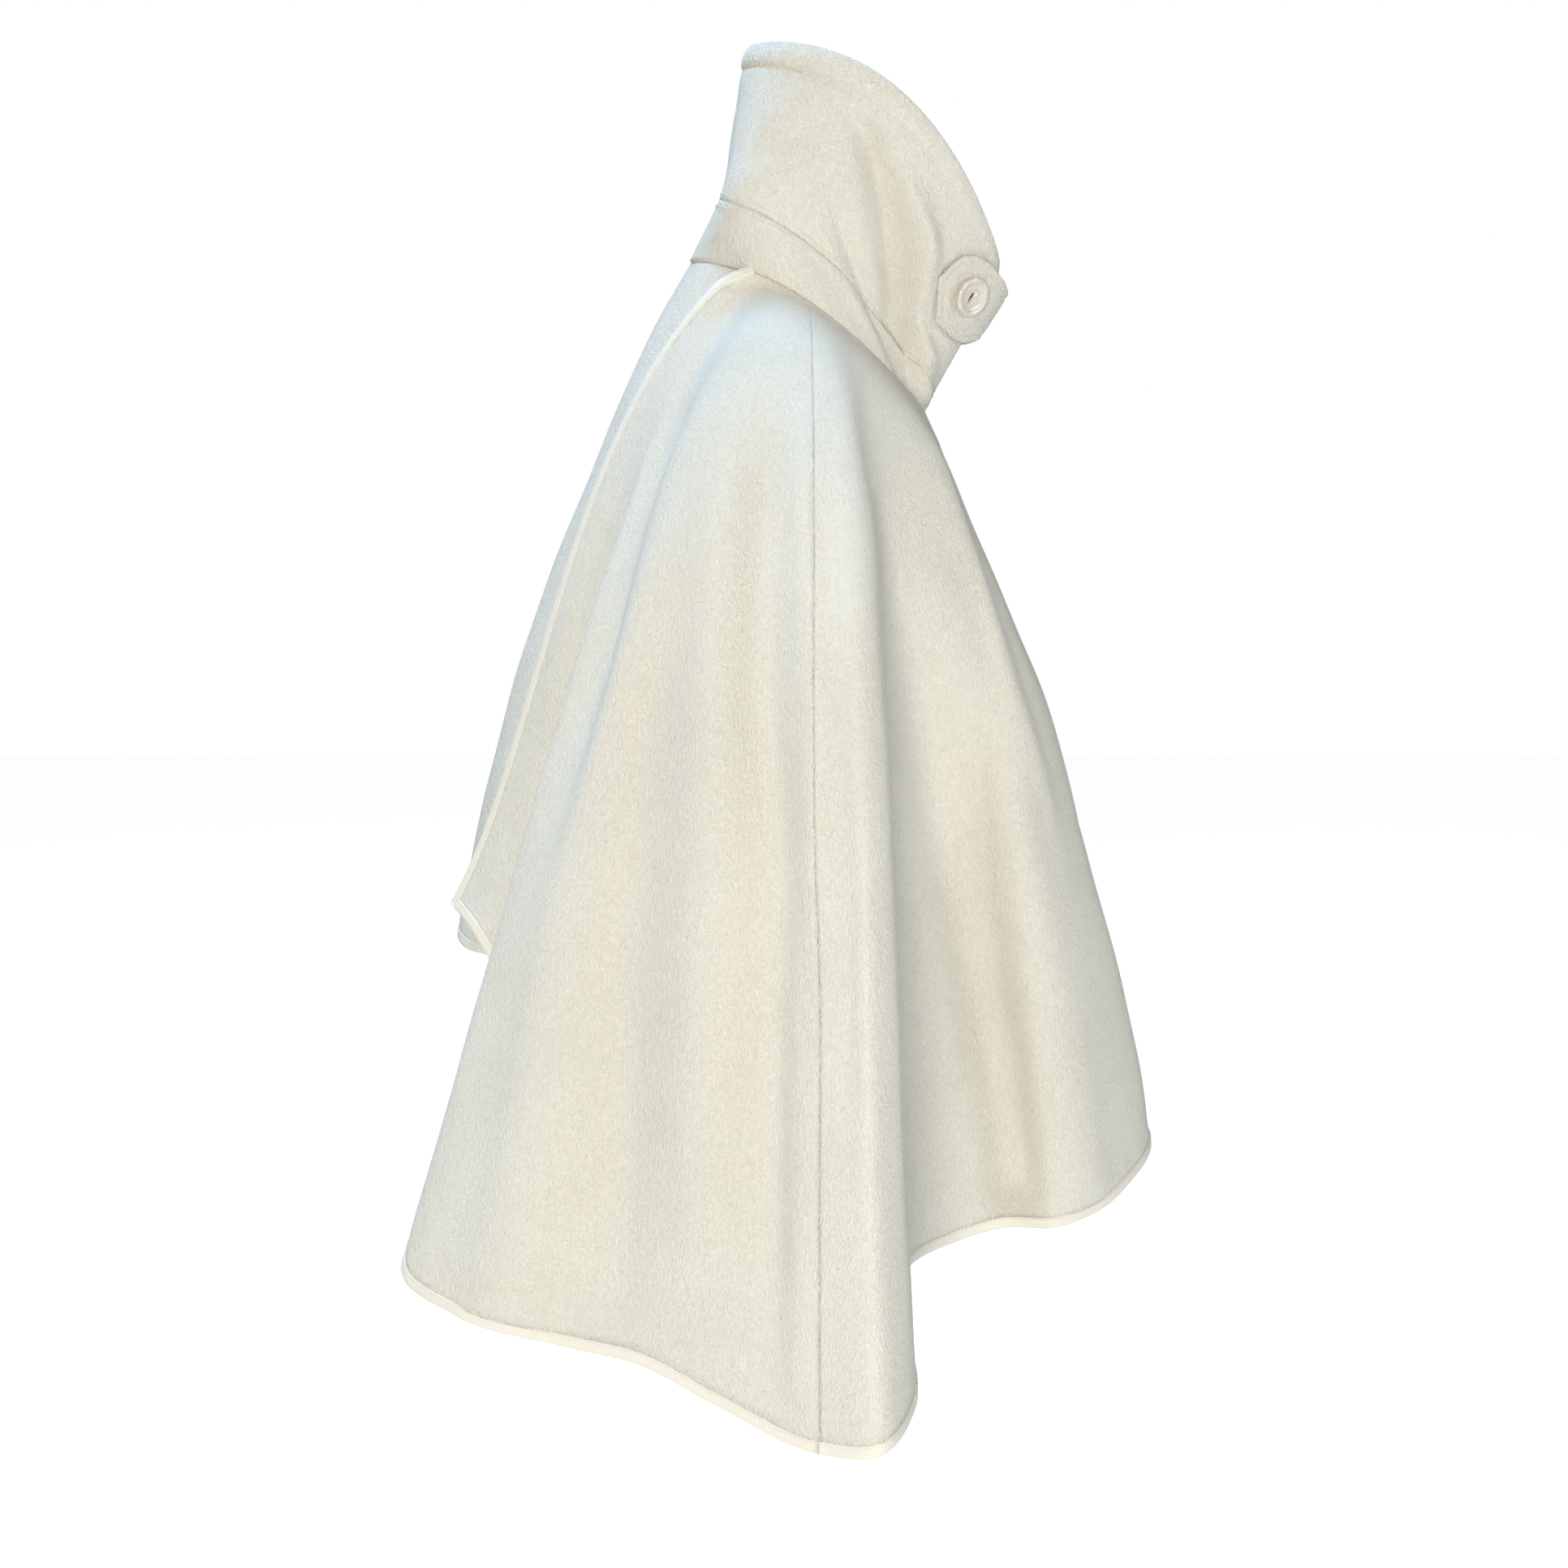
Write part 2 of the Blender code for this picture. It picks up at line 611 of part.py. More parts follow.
wool = (0.86, 0.83, 0.76)
tape = (0.87, 0.83, 0.74)

side = SEAM_GAP / 2
body_panel("front_panel", "left_side_seam", "side_seam", side, side, new_material("cream wool front", wool, 0.95))
body_panel("back_panel_right", "side_seam", "back_edge", side, BINDING_WIDTH + SEAM_GAP,
           new_material("cream wool right back", wool, 0.95))
body_panel("back_panel_left", "under_edge", "left_side_seam", BINDING_WIDTH + SEAM_GAP, side,
           new_material("cream wool left back", wool, 0.95))
hem_binding("hem_binding_front", "left_side_seam", "side_seam", side, side, new_material("front hem tape", tape, 0.8))
hem_binding("hem_binding_right", "side_seam", "back_edge", side, BINDING_WIDTH + SEAM_GAP,
            new_material("right hem tape", tape, 0.8))
hem_binding("hem_binding_left", "under_edge", "left_side_seam", BINDING_WIDTH + SEAM_GAP, side,
            new_material("left hem tape", tape, 0.8))
edge_binding("edge_binding_right", "back_edge", -1, new_material("right edge tape", tape, 0.8))
edge_binding("edge_binding_left", "under_edge", 1, new_material("left edge tape", tape, 0.8))
collar_band(new_material("cream wool band", wool, 0.95))
standing_collar(new_material("cream wool collar", wool, 0.95))
throat_tab(new_material("cream wool tab", wool, 0.95))
button(new_material("cream horn button", (0.80, 0.72, 0.60), 0.25))
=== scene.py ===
import math

import bpy
import numpy as np
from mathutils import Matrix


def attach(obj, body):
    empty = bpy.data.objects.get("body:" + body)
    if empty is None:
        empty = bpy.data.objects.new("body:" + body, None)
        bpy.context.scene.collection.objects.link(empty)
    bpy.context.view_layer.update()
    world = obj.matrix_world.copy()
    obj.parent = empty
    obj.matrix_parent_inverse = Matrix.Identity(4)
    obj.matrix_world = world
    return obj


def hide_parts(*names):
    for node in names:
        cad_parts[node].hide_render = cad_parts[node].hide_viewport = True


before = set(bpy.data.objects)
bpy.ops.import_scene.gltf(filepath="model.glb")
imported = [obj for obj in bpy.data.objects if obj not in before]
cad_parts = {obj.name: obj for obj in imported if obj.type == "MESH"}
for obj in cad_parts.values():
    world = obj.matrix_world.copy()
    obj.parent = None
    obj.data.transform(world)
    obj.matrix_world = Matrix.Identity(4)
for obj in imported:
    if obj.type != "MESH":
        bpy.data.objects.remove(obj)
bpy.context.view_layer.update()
print("frame loaded:", len(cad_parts), "pieces in the pattern")

# The wearer faces -Y and +Z is up. Sizes are in metres and the origin is the middle of the neck seam.
cape = {
    "cloth": 0.003,
    "collarCloth": 0.005,
    "seamGap": 0.0003,
    "tapeWidth": 0.008,
    "tapeProud": 0.0008,
    "bustSwell": 0.0045,
    "bustFrom": 0.05,  # parts of the way down between which the front swells out and in again
    "bustTo": 0.57,
    "foldStart": 0.05,  # folds fade in between these parts of the way down
    "foldEnd": 0.62,
    "calmSpread": 0.085,
}
calmWeights = ((-1.0, 0.25), (-0.72, 0.6), (-0.45, 0.9), (-0.2, 1.0), (0.0, 1.0),
               (0.2, 1.0), (0.45, 0.9), (0.72, 0.6), (1.0, 0.25))

# Neck and collar rings: up, then forward and height at the front and the back, reach, height and
# forward at the side, how much narrower the front is than the back, and the tilt of the rise
rings = {
    "neckSeam": (0.00, 0.0865, -0.0544, -0.0862, 0.0541, 0.0750, 0.0215, 0.0005, 0.00, -0.002),
    "bandTop": (0.22, 0.0925, -0.0415, -0.0653, 0.0968, 0.0740, 0.0740, -0.0200, 0.05, 0.024),
    "collarMiddle": (0.62, 0.1220, 0.0120, -0.0545, 0.1550, 0.0740, 0.1250, 0.0180, 0.10, 0.018),
    "collarRim": (1.00, 0.1399, 0.0517, -0.0446, 0.2012, 0.0720, 0.1691, 0.0535, 0.12, 0.010),
}
bandTop = rings["bandTop"][0]
seamLean = {"middle": 13.5, "front": -14.5, "side": 22.5}  # degrees that the seam's face tips up

# Fold lines: degrees round the neck seam from the front, then forward, side and height at the hem
centreFront = (0, 0.267, 0.0, -0.6110)
folds = {
    "frontRound": (12, 0.260, 0.050, -0.6105),
    "frontRidge": (22, 0.240, 0.093, -0.6155),
    "frontPlain": (33, 0.207, 0.137, -0.6235),
    "frontFold": (42, 0.175, 0.155, -0.6275),
    "frontValley": (50, 0.142, 0.141, -0.6330),
    "frontSide": (58, 0.106, 0.157, -0.6370),
    "armValley": (66, 0.070, 0.191, -0.6420),
    "armWall": (72, 0.063, 0.255, -0.6560),
    "armRidgeFront": (79, 0.0645, 0.342, -0.6750),
    "armRidge": (84, 0.0385, 0.392, -0.6805),
    "sideSeam": (90.5, 0.0045, 0.372, -0.6885),
    "armSlope": (96, -0.062, 0.326, -0.6785),
    "armHollow": (100, -0.112, 0.297, -0.6650),
    "armPlain": (104, -0.160, 0.273, -0.6640),
    "backArm": (111, -0.239, 0.243, -0.6550),
    "backRidge": (117, -0.283, 0.193, -0.6370),
    "backTurn": (119.5, -0.249, 0.161, -0.5940),
    "valleyWall": (121, -0.217, 0.141, -0.5560),
    "backValley": (122.5, -0.207, 0.118, -0.5140),
}
rightLap = {
    "valleyRise": (124, -0.221, 0.097, -0.4700),
    "backRise": (125.5, -0.244, 0.078, -0.4330),
    "backEdge": (128, -0.2663, 0.050, -0.4140),
}
leftLap = {
    "leftValley": (-127, -0.221, -0.097, -0.4830),
    "leftRise": (-133, -0.246, -0.074, -0.4620),
    "leftBack": (-152, -0.2630, -0.040, -0.4520),
    "centreBack": (-180, -0.2680, 0.0, -0.4500),
    "underBack": (-210, -0.2635, 0.028, -0.4495),
    "underLine": (-232, -0.2545, 0.052, -0.4490),
    "underEdge": (-240, -0.2290, 0.082, -0.4470),
}
# How a fold falls: slope below level at the neck and its reach, slope off plumb at the hem and its
# reach, and how far it lies under the lap
fallFront = (67, 0.186, 7, 0.202, 0)
fallSide = (19, 0.175, 14, 0.36, 0)
fallBack = (62, 0.168, 9, 0.165, 0)
falls = {
    "backArm": (44, 0.200, 20, 0.280, 0),
    "backRidge": (50, 0.215, 20, 0.255, 0),
    "backTurn": (49, 0.200, 20, 0.230, 0),
    "backValley": (47, 0.185, 20, 0.200, 0),
    "valleyWall": (48, 0.190, 20, 0.210, 0),
    "valleyRise": (46, 0.180, 22, 0.175, 0),
    "backRise": (43, 0.170, 26, 0.150, 0),
    "backEdge": (40, 0.161, 30.5, 0.133, 0),
    "leftValley": (50, 0.175, 18, 0.180, 0),
    "leftRise": (53, 0.168, 15, 0.170, 0),
    "leftBack": (59, 0.168, 11, 0.165, 0),
    "underBack": (58, 0.168, 12, 0.160, 0.0036),
    "underLine": (47, 0.158, 20, 0.150, 0.0052),
    "underEdge": (50, 0.152, 22, 0.150, 0.0060),
}


def unit(vectors):
    return vectors / np.linalg.norm(vectors, axis=-1, keepdims=True)


def smoothStep(low, high, value):
    part = np.clip((value - low) / (high - low), 0, 1)
    return part * part * (3 - 2 * part)


def bell(distance, width):
    return np.exp(-(distance / width) ** 2)


def matched(first, second):
    return np.broadcast_arrays(np.asarray(first, float), np.asarray(second, float))


def lengthAlong(points):
    return np.concatenate([[0.0], np.cumsum(np.linalg.norm(np.diff(points, axis=0), axis=1))])


def ringPoint(ring, turn):
    frontForward, frontHeight, backForward, backHeight, reach, sideHeight, sideForward, taper, tilt = ring
    cosine = np.cos(turn)
    sine = np.sin(turn)
    middleForward = (frontForward + backForward) / 2
    middleHeight = (frontHeight + backHeight) / 2
    forward = middleForward + (frontForward - backForward) / 2 * cosine
    forward = forward + (sideForward - middleForward) * sine * sine
    height = middleHeight + (frontHeight - backHeight) / 2 * cosine
    height = height + (sideHeight - middleHeight) * sine * sine + tilt * cosine * sine * sine
    side = reach * sine * (1 - taper * cosine)
    return np.stack([-side, -forward, height], -1)


def tableSlopes(places, values):
    steps = np.diff(places)
    rates = np.diff(values, axis=0) / steps[:, None]
    result = np.empty_like(values)
    result[0] = rates[0]
    result[-1] = rates[-1]
    before = steps[:-1, None]
    after = steps[1:, None]
    result[1:-1] = (rates[:-1] * after + rates[1:] * before) / (before + after)
    return result


def alongTable(places, values, rates, at):
    at = np.asarray(at, float)
    index = np.clip(np.searchsorted(places, at, side="right") - 1, 0, len(places) - 2)
    step = (places[index + 1] - places[index])[..., None]
    part = (at[..., None] - places[index][..., None]) / step
    square = part * part
    cube = square * part
    result = (2 * cube - 3 * square + 1) * values[index]
    result = result + (cube - 2 * square + part) * step * rates[index]
    result = result + (3 * square - 2 * cube) * values[index + 1]
    return result + (cube - square) * step * rates[index + 1]


ringTable = np.array([rings[name] for name in rings], float)
ringSlopes = tableSlopes(ringTable[:, 0], ringTable[:, 1:])


def collarPoint(turn, up):
    turn, up = matched(turn, up)
    ring = alongTable(ringTable[:, 0], ringTable[:, 1:], ringSlopes, up)
    return ringPoint(np.moveaxis(ring, -1, 0), np.radians(turn))


def collarAxes(turn, up):
    step = 0.002
    turn, up = matched(turn, up)
    roundWay = (collarPoint(turn + 0.5, up) - collarPoint(turn - 0.5, up)) * 57.2958
    higher = np.minimum(up + step, 1)
    lower = np.maximum(up - step, 0)
    upWay = (collarPoint(turn, higher) - collarPoint(turn, lower)) / (higher - lower)[..., None]
    return roundWay, upWay, unit(np.cross(upWay, roundWay))


def seamOut(turn):
    radians = np.radians(turn)
    sine = np.sin(radians)
    cosine = np.cos(radians)
    tip = seamLean["middle"] + seamLean["front"] * cosine + seamLean["side"] * sine * sine
    lean = np.radians(tip)
    frontForward, reach = rings["neckSeam"][1], rings["neckSeam"][5]
    across = unit(np.stack([-sine * frontForward, -cosine * reach], -1))
    return np.concatenate([across * np.cos(lean)[..., None], np.sin(lean)[..., None]], -1)


def fallOf(name, turn):
    if name in falls:
        return falls[name]
    radians = math.radians(turn)
    weight = math.sin(radians) ** 2
    end = fallFront if math.cos(radians) > 0 else fallBack
    return [weight * a + (1 - weight) * b for a, b in zip(fallSide, end)]


def foldRows():
    names = []
    rows = []
    for name, row in reversed(list(leftLap.items())):
        names.append(name)
        rows.append(list(row) + list(fallOf(name, row[0])))
    for name, row in reversed(list(folds.items())):
        names.append("left " + name)
        rows.append([-row[0], row[1], -row[2], row[3]] + list(fallOf(name, row[0])))
    names.append("centreFront")
    rows.append(list(centreFront) + list(fallOf("centreFront", 0)))
    for name, row in list(folds.items()) + list(rightLap.items()):
        names.append(name)
        rows.append(list(row) + list(fallOf(name, row[0])))
    return names, np.array(rows, float)


foldNames, foldTable = foldRows()
foldPlaces = lengthAlong(foldTable[:, 1:3])
foldSlopes = tableSlopes(foldPlaces, foldTable)
lastPlace = foldPlaces[-1]


def placeOf(name):
    return float(foldPlaces[foldNames.index(name)])


def foldValues(around):
    return alongTable(foldPlaces, foldTable, foldSlopes, around)


def calmValues(around):
    room = np.minimum(cape["calmSpread"], np.minimum(around - foldPlaces[0], lastPlace - around))
    room = np.maximum(room, 0)
    total = sum(weight for step, weight in calmWeights)
    return sum(weight * foldValues(around + step * room) for step, weight in calmWeights) / total


def bodyPoint(around, down):
    around, down = matched(around, down)
    folded = smoothStep(cape["foldStart"], cape["foldEnd"], down)[..., None]
    values = calmValues(around) * (1 - folded) + foldValues(around) * folded
    turn = values[..., 0]
    neck = ringPoint(ringTable[0, 1:], np.radians(turn)) - values[..., 8:9] * seamOut(turn)
    hem = np.stack([-values[..., 2], -values[..., 1], values[..., 3]], -1)
    across = hem - neck
    across[..., 2] = 0
    across = unit(across)
    upward = np.array([0.0, 0.0, 1.0])
    leave = np.radians(values[..., 4:5])
    flare = np.radians(values[..., 6:7])
    first = neck + values[..., 5:6] * (across * np.cos(leave) - upward * np.sin(leave))
    second = hem + values[..., 7:8] * (upward * np.cos(flare) - across * np.sin(flare))
    t = down[..., None]
    points = (1 - t) ** 3 * neck + 3 * (1 - t) ** 2 * t * first + 3 * (1 - t) * t * t * second + t ** 3 * hem
    high, low = cape["bustFrom"], cape["bustTo"]
    swell = np.where((down > high) & (down < low), np.sin(2 * math.pi * (down - high) / (low - high)), 0)
    points[..., 1] += swell * cape["bustSwell"] * np.clip(np.cos(np.radians(turn)), 0, 1) ** 2
    return points


def bodyAxes(around, down):
    step = 0.0015
    around, down = matched(around, down)
    ahead = np.minimum(around + step, lastPlace)
    behind = np.maximum(around - step, foldPlaces[0])
    roundWay = (bodyPoint(ahead, down) - bodyPoint(behind, down)) / (ahead - behind)[..., None]
    lower = np.minimum(down + step, 1)
    higher = np.maximum(down - step, 0)
    downWay = (bodyPoint(around, lower) - bodyPoint(around, higher)) / (lower - higher)[..., None]
    return roundWay, downWay, unit(np.cross(roundWay, downWay))


# Soft creases of the body. Each runs through points of (place round the body, part of the way down),
# and is a trough where its height is negative. The left side has its own, in other sizes.
bodyCreases = (
    # path, half width, height, fade at its two ends; the right side's come first
    (((1.885, 0.30), (1.880, 0.436), (1.873, 0.52), (1.855, 0.64), (1.855, 0.77), (1.848, 0.93)),
     0.018, -0.0120, 0.10),
    (((1.937, 0.32), (1.930, 0.444), (1.922, 0.57), (1.917, 0.71), (1.914, 0.83), (1.907, 0.94)),
     0.024, 0.0086, 0.12),
    (((1.992, 0.50), (1.990, 0.63), (1.988, 0.722), (1.981, 0.842), (1.971, 1.00)), 0.025, -0.0104, 0.12),
    (((2.085, 0.56), (2.065, 0.76), (2.055, 0.884), (2.051, 1.00)), 0.029, 0.0086, 0.12),
    (((1.826, 0.27), (1.813, 0.467), (1.809, 0.583), (1.809, 0.67)), 0.011, 0.0052, 0.08),
    (((1.797, 0.36), (1.791, 0.47), (1.788, 0.56), (1.786, 0.68), (1.788, 0.82)), 0.009, -0.0042, 0.08),
    (((1.824, 0.86), (1.822, 0.93), (1.820, 1.00)), 0.013, 0.0030, 0.06),
    (((2.041, 0.18), (2.035, 0.36), (2.035, 0.467), (2.055, 0.58)), 0.022, 0.0050, 0.10),
    (((2.090, 0.14), (2.088, 0.30), (2.092, 0.45), (2.112, 0.62)), 0.023, -0.0058, 0.10),
    (((1.535, 0.46), (1.512, 0.60), (1.485, 0.74), (1.466, 0.88), (1.462, 1.00)), 0.019, -0.0160, 0.10),
    (((1.483, 0.42), (1.456, 0.575), (1.429, 0.718), (1.412, 0.865), (1.404, 1.00)), 0.024, 0.0070, 0.10),
    (((1.497, 0.10), (1.466, 0.30), (1.436, 0.43), (1.396, 0.57)), 0.013, 0.0048, 0.08),
    (((1.640, 0.05), (1.655, 0.16), (1.665, 0.30)), 0.030, -0.0044, 0.10),
    (((1.590, 0.20), (1.585, 0.42), (1.575, 0.66)), 0.026, -0.0040, 0.14),
    (((1.735, 0.30), (1.730, 0.60), (1.722, 0.95)), 0.014, 0.0036, 0.14),
    (((2.225, 0.010), (2.205, 0.045), (2.190, 0.090)), 0.060, -0.0060, 0.040),
    # the left side
    (((0.607, 0.33), (0.612, 0.46), (0.624, 0.60), (0.636, 0.78), (0.640, 0.95)), 0.021, -0.0082, 0.12),
    (((0.556, 0.36), (0.563, 0.52), (0.572, 0.70), (0.580, 0.92)), 0.025, 0.0060, 0.13),
    (((0.500, 0.48), (0.504, 0.68), (0.512, 0.84), (0.520, 1.00)), 0.027, -0.0070, 0.13),
    (((0.412, 0.52), (0.426, 0.72), (0.438, 0.88), (0.442, 1.00)), 0.030, 0.0058, 0.14),
    (((0.670, 0.30), (0.679, 0.46), (0.683, 0.66)), 0.012, 0.0044, 0.10),
    (((0.698, 0.34), (0.703, 0.52), (0.704, 0.76)), 0.010, -0.0036, 0.10),
    (((0.450, 0.20), (0.456, 0.36), (0.446, 0.56)), 0.022, 0.0044, 0.12),
    (((0.402, 0.16), (0.402, 0.34), (0.392, 0.58)), 0.019, -0.0058, 0.12),
    (((0.957, 0.46), (0.982, 0.62), (1.010, 0.80), (1.026, 1.00)), 0.019, -0.0110, 0.12),
    (((1.008, 0.44), (1.044, 0.66), (1.064, 0.86), (1.078, 1.00)), 0.025, 0.0062, 0.12),
    (((1.000, 0.12), (1.026, 0.28), (1.066, 0.46), (1.098, 0.60)), 0.015, 0.0040, 0.10),
    (((0.850, 0.06), (0.838, 0.18), (0.826, 0.32)), 0.032, -0.0038, 0.10),
    (((0.905, 0.22), (0.912, 0.44), (0.925, 0.68)), 0.028, -0.0038, 0.14),
    (((0.150, 0.42), (0.162, 0.66), (0.170, 0.96)), 0.018, -0.0036, 0.16),
    (((0.110, 0.30), (0.104, 0.56), (0.100, 0.86)), 0.020, 0.0030, 0.18),
    # the front's middle
    (((1.255, 0.30), (1.262, 0.56), (1.258, 0.84)), 0.030, -0.0036, 0.20),
    (((1.190, 0.56), (1.186, 0.78), (1.180, 0.98)), 0.024, 0.0034, 0.14),
)
neckCrowding = 0.17  # how close places round the body are at the neck, against the hem
openEnd = 0.97  # a crease that ends lower than this runs out over the hem
# Faint waves of the cloth: height, then two sines as turns round, turns down and phase
clothWaves = ((0.0015, (17, 4.1, 0), (5.3, 9, 0.7)), (0.0006, (43, -11, 1.3), (13, 23, 2.1)))
# Puckers beside a seam: height, distance from it, mean and waves as share, turns and phase
seamPucker = {"height": 0.00045, "beside": 0.006, "mean": 0.5, "waves": ((0.3, 190, 0), (0.2, 317, 1.7))}


def pathPlace(path, at):
    points = np.array(path, float)
    return alongTable(points[:, 1], points[:, :1], tableSlopes(points[:, 1], points[:, :1]),
                      np.clip(at, points[0, 1], points[-1, 1]))[..., 0]


def creaseRelief(creases, level, distanceFrom):
    # The height of a table of creases: distanceFrom gives the distance from a crease's line
    relief = np.zeros_like(level)
    for path, width, height, fade in creases:
        start, end = path[0][1], path[-1][1]
        ends = smoothStep(start - fade, start + fade, level)
        if end < openEnd:
            ends = ends * (1 - smoothStep(end - fade, end + fade, level))
        relief += height * bell(distanceFrom(pathPlace(path, level)), width) * ends
    return relief


def bodyRelief(around, down):
    # How far the cloth's face stands out of the plain fold form
    crowd = neckCrowding + (1 - neckCrowding) * down
    relief = creaseRelief(bodyCreases, down, lambda line: (around - line) * crowd)
    waves = 0
    for height, (a, b, c), (d, e, f) in clothWaves:
        waves = waves + height * (np.sin(a * around + b * down + c) * np.sin(d * around + e * down + f))
    return relief + smoothStep(0.02, 0.20, down) * waves


def seamDip(distance, spread, depth, along):
    # A seam's groove with small uneven puckers beside it
    pucker = seamPucker["mean"]
    for share, turns, phase in seamPucker["waves"]:
        pucker = pucker + share * np.sin(turns * along + phase)
    beside = seamPucker["beside"]
    return -depth * bell(distance, spread) - seamPucker["height"] * pucker * bell(distance - beside, beside)


search = {"rounds": 16, "power": 0.6}


def shiftFor(around, down, width):
    roundWay, _, _ = bodyAxes(around, down)
    shift = width / np.linalg.norm(roundWay, axis=-1)
    start = bodyPoint(around, down)
    for _ in range(search["rounds"]):
        reached = np.linalg.norm(bodyPoint(around + shift, down) - start, axis=-1)
        shift = shift * (abs(width) / reached) ** search["power"]
    return shift


def hemSquare(places, width):
    roundWay, downWay, out = bodyAxes(places, 1.0)
    along = unit(bodyPoint(places + 0.001, 1.0) - bodyPoint(places - 0.001, 1.0))
    square = unit(np.cross(along, out)) * width
    rows = np.stack([roundWay, downWay, out], -1)
    steps = np.linalg.solve(rows, square[..., None])[..., 0]
    start = bodyPoint(places, 1.0)
    for _ in range(search["rounds"]):
        reached = np.linalg.norm(bodyPoint(places + steps[:, 0], 1 + steps[:, 1]) - start, axis=-1)
        steps = steps * ((width / reached) ** search["power"])[:, None]
    return steps[:, 0], steps[:, 1]


panelMesh = {
    "cell": 0.0056,
    "bendCell": math.radians(9),
    "samples": 1600,
    "rows": 132,
    "hemEase": 7,
    "seamTrim": 0.00002,
    "seamSpread": 0.0024,
    "seamDepth": 0.0005,
    "underTape": 0.0015,
    "tapeCalm": 0.02,
    "neckCalm": 0.012,
    "hemCalm": 0.022,
    "rowLength": 0.6,
}
backCorner = {
    "reach": 0.017,
    "rise": 0.0085,
    "down": 0.040,
    "rowLength": 0.62,
    "rows": 12,
    "steps": 16,
    "cornerTrim": 0.001,
    "thinEnd": 0.35,
    "start": 0.0008,
    "tapeBelow": (0.045, 142),  # part of the way down and the number of steps from there to the hem
}
panels = {
    "frontPanel": {"node": "front_panel", "first": "left sideSeam", "last": "sideSeam",
                   "trims": ("seam", "seam"), "flat": (1.15, 0.67), "area": 0.52},
    "rightBack": {"node": "back_panel_right", "first": "sideSeam", "last": "backEdge",
                  "trims": ("seam", "tape"), "flat": (0.66, 0.71), "area": 0.235},
    "leftBack": {"node": "back_panel_left", "first": "underEdge", "last": "left sideSeam",
                 "trims": ("tape", "seam"), "flat": (0.78, 0.67), "area": 0.31},
}


def cornerCut(down, inset):
    # How far the rounded top corner of the back edge runs in along the neck seam, for a line this far
    # inside it
    high = backCorner["down"] * backCorner["rowLength"]
    part = np.clip((1 - down / backCorner["down"]) / (1 - inset / high), 0, 1)
    wide = backCorner["reach"] - inset
    return np.where(down < backCorner["down"], wide * (1 - np.sqrt(1 - part * part)), 0)


def trimWidth(kind):
    # How far the cloth stops short of the fold line: at a seam it meets it, at a tape it runs under
    return panelMesh["seamTrim"] if kind == "seam" else cape["tapeWidth"] - panelMesh["underTape"]


def panelPlaces(first, last):
    # Places round the body for one panel's mesh, closer together where the cloth bends
    start = placeOf(first)
    end = placeOf(last)
    fine = np.linspace(start, end, panelMesh["samples"])
    hem = bodyPoint(fine, 1.0)
    length = np.linalg.norm(np.diff(hem, axis=0), axis=1)
    way = unit(np.diff(hem, axis=0))
    bend = np.concatenate([[0], np.arccos(np.clip((way[1:] * way[:-1]).sum(-1), -1, 1))])
    need = np.concatenate([[0], np.cumsum(length / panelMesh["cell"] + bend / panelMesh["bendCell"])])
    count = int(need[-1]) + 2
    return np.interp(np.linspace(0, need[-1], count), need, fine)


def panelGrid(panel):
    places = panelPlaces(panel["first"], panel["last"])
    share = (places - places[0]) / (places[-1] - places[0])
    rows = panelMesh["rows"]
    _, hemWay, _ = bodyAxes(places, 1.0)
    _, neckWay, _ = bodyAxes(places, 0.0)
    top = 0.1 * cape["seamGap"] / np.linalg.norm(neckWay, axis=-1)
    bottom = 1 - trimWidth("tape") / np.linalg.norm(hemWay, axis=-1)
    part = np.concatenate([np.linspace(0, backCorner["down"], backCorner["rows"] + 1)[:-1],
                           np.linspace(backCorner["down"], 1, rows + 1 - backCorner["rows"])])
    down = top[:, None] + (bottom - top)[:, None] * part[None, :]
    around = np.repeat(places[:, None], rows + 1, axis=1)
    for end, trim, sign in ((0, panel["trims"][0], 1), (-1, panel["trims"][1], -1)):
        width = trimWidth(trim)
        if panel["last"] == "backEdge" and end == -1:
            least = backCorner["cornerTrim"]
            width = least + (width - least) * smoothStep(0.6, 1.0, down[end] / backCorner["down"])
            width = width + cornerCut(down[end], width)
        shift = shiftFor(np.full(rows + 1, places[end]), down[end], sign * width)
        weight = (1 - share) if end == 0 else share
        around = around + weight[:, None] * shift[None, :]
    hem = around[:, -1].copy()
    level = hemSquare(hem, trimWidth("tape"))
    inside = np.minimum(1, 6 * share * (1 - share))
    ease = part ** panelMesh["hemEase"]
    around = around + (level[0] * inside)[:, None] * ease[None, :]
    down = down + (1 + level[1] - down[:, -1])[:, None] * ease[None, :]
    return around, down, places, hem


def foldTurn(around):
    return calmValues(around)[..., 0]


def newObject(name, points, faces, material, smooth=True):
    mesh = bpy.data.meshes.new(name)
    points = np.asarray(points, float).reshape(-1, 3)
    mesh.from_pydata(points.tolist(), [], faces)
    mesh.validate()
    mesh.materials.append(material)
    if smooth:
        mesh.shade_smooth()
    item = bpy.data.objects.new(name, mesh)
    bpy.context.scene.collection.objects.link(item)
    return item


def gridFaces(columns, rows, start, flip):
    first = np.arange(columns - 1)[:, None] * rows + np.arange(rows - 1)[None, :] + start
    first = first.ravel()
    quads = np.stack([first, first + rows, first + rows + 1, first + 1], -1)
    return quads[:, ::-1] if flip else quads


